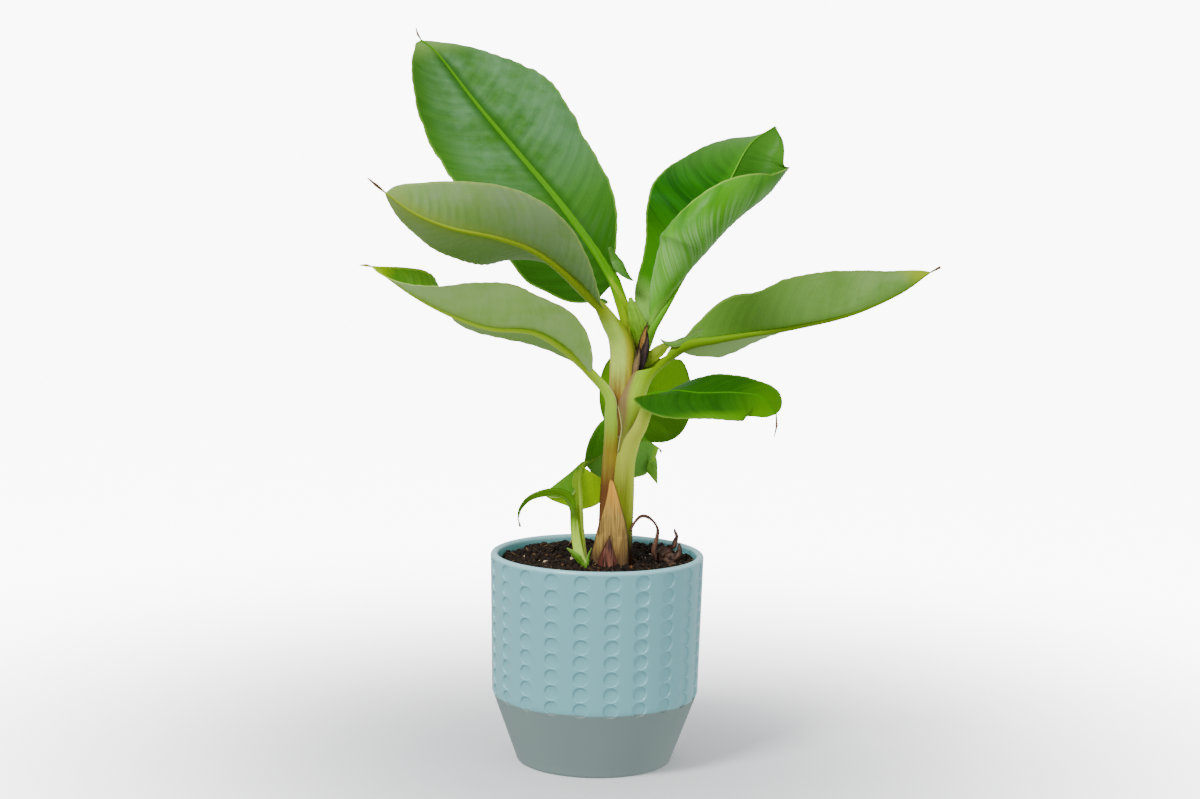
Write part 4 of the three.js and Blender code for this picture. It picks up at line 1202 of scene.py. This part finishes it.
# Looks of dry and half-dry strips. Colours: pale, dark, edge, tip and decay
plainDry = {"decayShare": 0.5, "stripe": 0.8, "roughness": 0.5}
dryLooks = {
    "oldSheathSkin": {
        "colours": "#c8a450 #7c5c28 #4a3420 #fcb43c #6c4c38", "decayShare": 0.4,
        "low": ("#50342c", 176, 152, 0.8), "stripe": 1.5, "roughness": 0.55,
    },
    "innerFoldSkin": {"colours": "#8c5644 #200e0c #3a2420 #8c5a48 #4a2820", "stripe": 0.7},
    "darkBractSkin": {
        "colours": "#4a3430 #1a1212 #120c0c #5a4436 #2c1f1e", "decayShare": 0.75, "stripe": 1.2,
    },
    "paperySkin": {
        "colours": "#8a7448 #54402c #32241a #6c5434 #5c4834", "decayShare": 0.6, "stripe": 0.9,
        "roughness": 0.55,
    },
    "tanFlakeSkin": {"colours": "#c49644 #8a5a26 #4a3020 #2a1d1a #9a6a30", "stripe": 1.2, "roughness": 0.6},
    "witheredSkin": {"colours": "#6c4a3c #2c1c18 #1c1210 #5c4438 #2c1c16", "decayShare": 0.6, "stripe": 1.1},
    "witheredStalkSkin": {
        "colours": "#a47c60 #5a3c2c #5a3c2c #5c3c30 #4c3226", "stripe": 1.1, "roughness": 0.6,
    },
    "paleLobeSkin": {
        "colours": "#6c9c3c #588a2c #5c4a2c #64943c #5c8c30", "decayShare": 0.4, "roughness": 0.45,
    },
    "innerLipSkin": {"colours": "#98b41c #7c9810 #8c9830 #8ca818 #748820", "roughness": 0.45},
    "paleMarginSkin": {
        "colours": "#84c020 #68a018 #7c9430 #6c5020 #80a828", "decayShare": 0.3, "roughness": 0.45,
    },
    "sproutSkin": {"colours": "#86c43a #5fa41c #8cc048 #9ccc50 #74b22a", "stripe": 1.2, "roughness": 0.4},
    "darkLobeSkin": {
        "colours": "#4a8420 #356c14 #4a6a1c #3c6a16 #47702c", "decayShare": 0.4, "roughness": 0.42,
    },
}


# Dry sheath, bract and withered leaf: thin tissue, striped along its fibres and dark where it decays
def drySkin(name, look):
    look = {**plainDry, **look}
    pale, dark, edge, tip, decay = look["colours"].split()
    material, tree, skin = newMaterial(name, look["roughness"], 0.3)
    place, (_, _, height) = split(tree)
    toEdge, u, _ = split(tree, "trim")[1]
    grain = addNode(tree, "ShaderNodeAttribute", attribute_name="grain").outputs["Vector"]
    stripes = streaked(tree, grain, (0.05, look["stripe"], 1), detail=3)
    clouds = streaked(tree, place, (120, 120, 70), detail=4)
    layers = [
        (pale, masked(tree, stripes, 0.36, 0.58)),
        (decay, masked(tree, clouds, 0.46, 0.66, look["decayShare"])),
    ]
    if "low" in look:
        tint, start, full, share = look["low"]
        layers.append((tint, masked(tree, height, start * mm, full * mm, share)))
    layers += [(tip, masked(tree, u, 0.6, 1.0, 0.9)), (edge, masked(tree, toEdge, 0.9, 0.2, 0.8))]
    dressed(tree, skin, layered(tree, linear(dark), *layers), (stripes, 0.5, 0.0006))
    return material


drySkins = {name: drySkin(name, look) for name, look in dryLooks.items()}


# A thin strip along a path: cupped across by `cup`, torn and crumpled by noise
plainRibbon = {
    "azimuth": 0, "ragged": 0.1, "crumple": 0.3, "thick": 0.35,
    "stepLength": 0.8, "fewestSteps": 10, "leastHalf": 0.15, "across": 13,
}


def ribbonPiece(name, ribbon, seed):
    ribbon = {**plainRibbon, **ribbon}
    length = smoothPath(ribbon["path"], 4)[1]
    s = stationsAlong(ribbon["path"], ribbon["azimuth"], ribbon["roll"],
                      max(ribbon["fewestSteps"], int(length / ribbon["stepLength"])))
    across = np.linspace(-1, 1, ribbon["across"])
    half = np.maximum(along(ribbon["half"], s["u"]), ribbon["leastHalf"])[:, None]
    run = (s["u"] * length)[:, None]
    tear = 1 + ribbon["ragged"] * wobble(run / 1.6, np.sign(across)[None], seed=seed)
    x = half * across * tear
    crumple = ribbon["crumple"] * wobble(run / 4, across[None] * half / 3, seed=seed + 40)
    y = along(ribbon["cup"], s["u"])[:, None] * half * across ** 2 + crumple
    thick = ribbon["thick"] / 2
    rings = ringed(offPath(s, x, y + thick), offPath(s, x, y - thick))
    trim = np.stack([half * tear - np.abs(x), np.broadcast_to(s["u"][:, None], x.shape), np.abs(x)], -1)
    grain = np.stack([np.broadcast_to(run, x.shape), x + 5 * seed, np.zeros_like(x)], -1)
    return loftPiece(name, rings, ringed(grain), ringed(trim), [drySkins[ribbon["skin"]]])


# The foot of the false stem as seen from the front: how far forward it stands at each place and height
footRounds = [
    {"x": (9.5, 12.5, 14.5), "y": (0, 0, 0), "radius": (15, 11.8, 10)},
    {"x": (9, 9.3, 9.6), "y": (-1, -1.8, -2.6), "radius": (9.2, 8.6, 8.2)},
    {"x": (16, 16.5, 17), "y": (-3, -3.2, -3.5), "radius": (10.8, 10.4, 10)},
]


def footFront(x, z):
    u = np.clip((z - 145) / 60, 0, 1)
    fronts = []
    for item in footRounds:
        radius = along(item["radius"], u)
        reach = np.clip(1 - ((x - along(item["x"], u)) / radius) ** 2, 0.0, 1)
        fronts.append(along(item["y"], u) - radius * np.sqrt(reach))
    return np.minimum.reduce(fronts)


# The old sheath's dry husk: one tapering sheet that splits into two legs at its foot, over an inner fold
husk = {
    "heights": (145.5, 155, 164, 171, 174, 184, 192, 200, 207, 212.5, 215),
    "left": (-6.9, -5.0, -2.8, -1.4, -0.8, 1.6, 4.0, 5.8, 7.0, 7.6, 8.6),
    "right": (23.8, 23.5, 23.0, 22.5, 22.2, 20.4, 18.0, 15.8, 13.6, 11.6, 9.6),
    "leftSplit": (0.2, 1.6, 5.4, 9.0, 9.6, 10, 10, 10, 9.9, 9.5, 9.1),
    "rightSplit": (17.2, 14.2, 11.2, 9.2, 9.0, 9.4, 9.6, 9.6, 9.6, 9.2, 9.0),
    "foldLeft": (-3, -1, 1, 3, 4, 5, 6, 7, 7.6, 8.2, 8.7),
    "foldRight": (19, 18, 17, 16, 15, 14, 13, 11.8, 10.8, 10, 9.5),
    "apex": 172, "lift": 1.2, "thick": 0.7,
    "folds": [
        {"x": 5.2, "lean": 0.14, "width": 1.5, "rise": 1.7},
        {"x": 10.5, "lean": -0.05, "width": 1.7, "rise": 1.3},
    ],
}


def makeHusk():
    levels = np.linspace(0, 1, 70)
    across = np.linspace(0, 1, 24)
    sheets = [("left", "leftSplit", "oldSheathSkin"), ("rightSplit", "right", "oldSheathSkin"),
              ("foldLeft", "foldRight", "innerFoldSkin")]
    for i, (first, last, skinName) in enumerate(sheets):
        start, stop = along(husk[first], levels)[:, None], along(husk[last], levels)[:, None]
        x = start + (stop - start) * across
        height = np.broadcast_to(along(husk["heights"], levels)[:, None], x.shape)
        ridges = 0.2 * wobble(x / 0.9, height / 60, seed=60) + 0.45 * wobble(x / 5, height / 18, seed=70)
        fromStart, fromStop = across[None] * (stop - start), (1 - across[None]) * (stop - start)
        joined = 6 * np.clip((height - husk["apex"]) / 3, 0, 1)  # above the split the two legs are one sheet
        edge = np.minimum(fromStart + joined * (i == 1), fromStop + joined * (i == 0))
        if i < 2:
            proud = husk["lift"] * np.clip(edge / 1.5, 0.35, 1) + ridges - 0.2 * (i == 1) * (joined > 0)
        else:
            proud = 0.2 * ridges - 0.2
            for fold in husk["folds"]:
                middle = fold["x"] + fold["lean"] * (height - 146)
                tuck = np.clip((husk["apex"] + 2 - height) / 14, 0, 1)
                proud = proud + tuck * fold["rise"] * np.exp(-((x - middle) / fold["width"]) ** 2)
        front = footFront(x, height) - proud
        rings = ringed(np.stack([x, front, height], -1), np.stack([x, front + husk["thick"], height], -1))
        grain = np.stack([height, x, np.zeros_like(x)], -1)
        toTop = np.clip(1.2 * levels[:, None], 0, 1)
        trim = np.stack([edge, np.broadcast_to(toTop, x.shape), x], -1)
        name = "oldSheathFlap%d" % (i + 1)
        piece = loftPiece(name, rings, ringed(grain), ringed(trim), [drySkins[skinName]])
        finished(piece, ["old_sheath"])


makeHusk()

# Thin strips by their solid and slot: dry bracts, the withered leaf, sprouts, lobes, margins and a twig
ribbons = {
    ("dead_bract", "dry_bract"): {
        "bractBack": {
            "skin": "darkBractSkin",
            "path": [(27.5, -4, 296), (29.5, -5.5, 306), (31.5, -6, 318), (32.8, -5, 329)], "azimuth": -60,
            "roll": (10, 30), "half": (2.6, 4.2, 3.8, 0.6), "cup": (-0.8, -0.9, -0.6),
        },
        "bractFront": {
            "skin": "darkBractSkin",
            "path": [(30, -8, 296), (31.8, -8.4, 308), (33.5, -7.5, 318), (34.5, -6, 324)], "azimuth": -80,
            "roll": (0, 20), "half": (1.0, 2.4, 2.2, 0.5), "cup": (-0.7, -0.6, -0.5),
        },
        "tanFlake": {
            "skin": "tanFlakeSkin",
            "path": [(28.6, -8, 311), (30.2, -8.6, 318), (32, -8, 325), (34.2, -7, 332)], "azimuth": -80,
            "roll": (-10,), "half": (0.8, 1.9, 1.4, 0.2), "cup": (-0.4,),
        },
        "paperySheath": {
            "skin": "paperySkin",
            "path": [(24.5, -9.8, 290), (26, -10.2, 299), (27.6, -9.6, 308), (28.2, -8.6, 315)],
            "azimuth": -80, "roll": (20,), "half": (1.6, 2.6, 2.0, 0.4), "cup": (-0.3,),
        },
    },
    ("withered_leaf", "withered_leaf"): {
        "witheredStalk": {
            "skin": "witheredStalkSkin",
            "path": [(24.5, -9, 176), (27.5, -9, 182), (31.5, -8, 186.5), (36, -6, 186.5), (41, -4, 183),
                     (44.6, -2, 177), (44.4, 0, 169), (42.3, 1, 160), (43.5, 2, 153)],
            "roll": (0, 50, 20, 60, 30), "half": (1.1, 1.0, 1.1, 1.0, 1.3, 1.7, 1.9), "cup": (0.2,),
            "crumple": 0.2, "thick": 1.5,
        },
        "witheredFold": {
            "skin": "witheredSkin",
            "path": [(41, 0, 157), (44, -1, 152), (48, 0, 150.5), (53, 3, 153), (57, 5, 157)],
            "azimuth": -60, "roll": (20, 60, 40), "half": (2.0, 5.5, 6.8, 5.4, 2.4), "cup": (0.8, 0.4, 0.7),
            "crumple": 2.2, "ragged": 0.3, "thick": 0.6,
        },
        "witheredCurl": {
            "skin": "witheredSkin",
            "path": [(46, 5, 150), (50, 6, 155), (55, 8, 158), (59, 8, 163), (60, 9, 169), (58, 9, 175)],
            "azimuth": -50, "roll": (40, 0, 30), "half": (2.6, 4.6, 4.0, 2.6, 1.6, 0.6), "cup": (0.9, 0.6),
            "crumple": 1.6, "ragged": 0.3, "thick": 0.6,
        },
        "witheredTip": {
            "skin": "witheredSkin", "path": [(54, 3, 151), (58, 4, 152), (61.5, 6, 157), (61.5, 8, 164)],
            "azimuth": -60, "roll": (0, 60), "half": (2.8, 4.0, 2.4, 0.6), "cup": (0.8,), "crumple": 1.3,
            "ragged": 0.3, "thick": 0.6,
        },
    },
    ("petiole_5", "stem"): {
        "innerLip": {
            "skin": "innerLipSkin",
            "path": [(30, -4, 299.5), (35, -5, 303.5), (41, -6, 309), (47, -7, 314), (52, -8, 316)],
            "roll": (90,), "half": (2.0, 4.2, 4.6, 3.6, 1.0), "cup": (0.1,),
        },
    },
    ("sprout", "young_leaf"): {
        "leftSprout": {
            "skin": "sproutSkin",
            "path": [(-6.5, -15.5, 147), (-11, -17, 151.5), (-16, -18.5, 157.5), (-22.5, -19.5, 164)],
            "azimuth": 180, "roll": (-60, -50), "half": (1.2, 2.6, 3.4, 0.4), "cup": (0.35,), "ragged": 0.22,
        },
        "rightSprout": {
            "skin": "sproutSkin",
            "path": [(-7.5, -15.5, 147), (-6.8, -16.5, 152), (-6.2, -17, 158), (-4.3, -17.5, 164)],
            "roll": (50,), "half": (0.9, 1.5, 1.0, 0.2), "cup": (0.35,), "ragged": 0.18,
        },
    },
    ("leaf_1", "leaf"): {
        "upperLobe": {
            "skin": "darkLobeSkin",
            "path": [(5, 17, 386), (9.5, 15.5, 377), (14, 13, 370), (19, 11, 364.5), (23.5, 9.5, 361.5)],
            "azimuth": -80, "roll": (-35,), "half": (1.5, 3.2, 4.4, 2.6, 0.3), "cup": (0.25,), "ragged": 0.1,
        },
    },
    ("leaf_5", "leaf"): {
        "rightLobe": {
            "skin": "paleLobeSkin",
            "path": [(43.6, -15.5, 320.8), (46.5, -16, 318.5), (50, -16.5, 317.3), (56, -17.5, 317.8),
                     (66, -19.5, 322.5), (78, -22.5, 328)],
            "roll": (90,), "half": (0.3, 2.0, 3.0, 2.6, 3.4, 3.0), "cup": (0.1,), "ragged": 0.1,
        },
    },
    ("leaf_2", "leaf"): {
        "leftLobe": {
            "skin": "darkLobeSkin", "path": [(-3, -15, 349), (1, -14, 347.5), (4.5, -13, 346.5)],
            "roll": (-70,), "half": (1.0, 2.0, 0.8), "cup": (0.3,),
        },
    },
    ("petiole_1", "stem"): {
        "paleMargin": {
            "skin": "paleMarginSkin",
            "path": [(21, -1, 350), (23, -2, 342), (26, -2, 333), (29, 0, 322), (30, 1.5, 308)],
            "roll": (90,), "half": (1.2, 4.6, 6.6, 5.6, 3.6), "cup": (0.3,), "ragged": 0.03,
        },
    },
    ("sucker_leaf_2", "young_leaf"): {
        "turnedTip": {
            "skin": "sproutSkin", "path": [(36, 52, 227), (38.5, 52, 220), (42, 52, 211), (45.5, 52, 202)],
            "roll": (90,), "half": (5.0, 6.2, 3.4, 0.2), "cup": (0.15,), "ragged": 0.04,
        },
    },
    ("soil", "soil"): {
        "soilTwig": {
            "skin": "witheredSkin",
            "path": [(-14.5, 20, 150), (-13.4, 20.5, 158), (-12.4, 21.5, 165), (-11.6, 22, 170)],
            "azimuth": -90, "roll": (0,), "half": (0.9, 0.7, 0.6, 0.2), "cup": (0.5,), "thick": 0.8,
        },
    },
}
named = [(home, *entry) for home, group in ribbons.items() for entry in group.items()]
for seed, ((node, slot), name, ribbon) in enumerate(named):
    finished(ribbonPiece(name, ribbon, seed), [node])
print("dry sheath, bract, withered leaf and sprout ready")
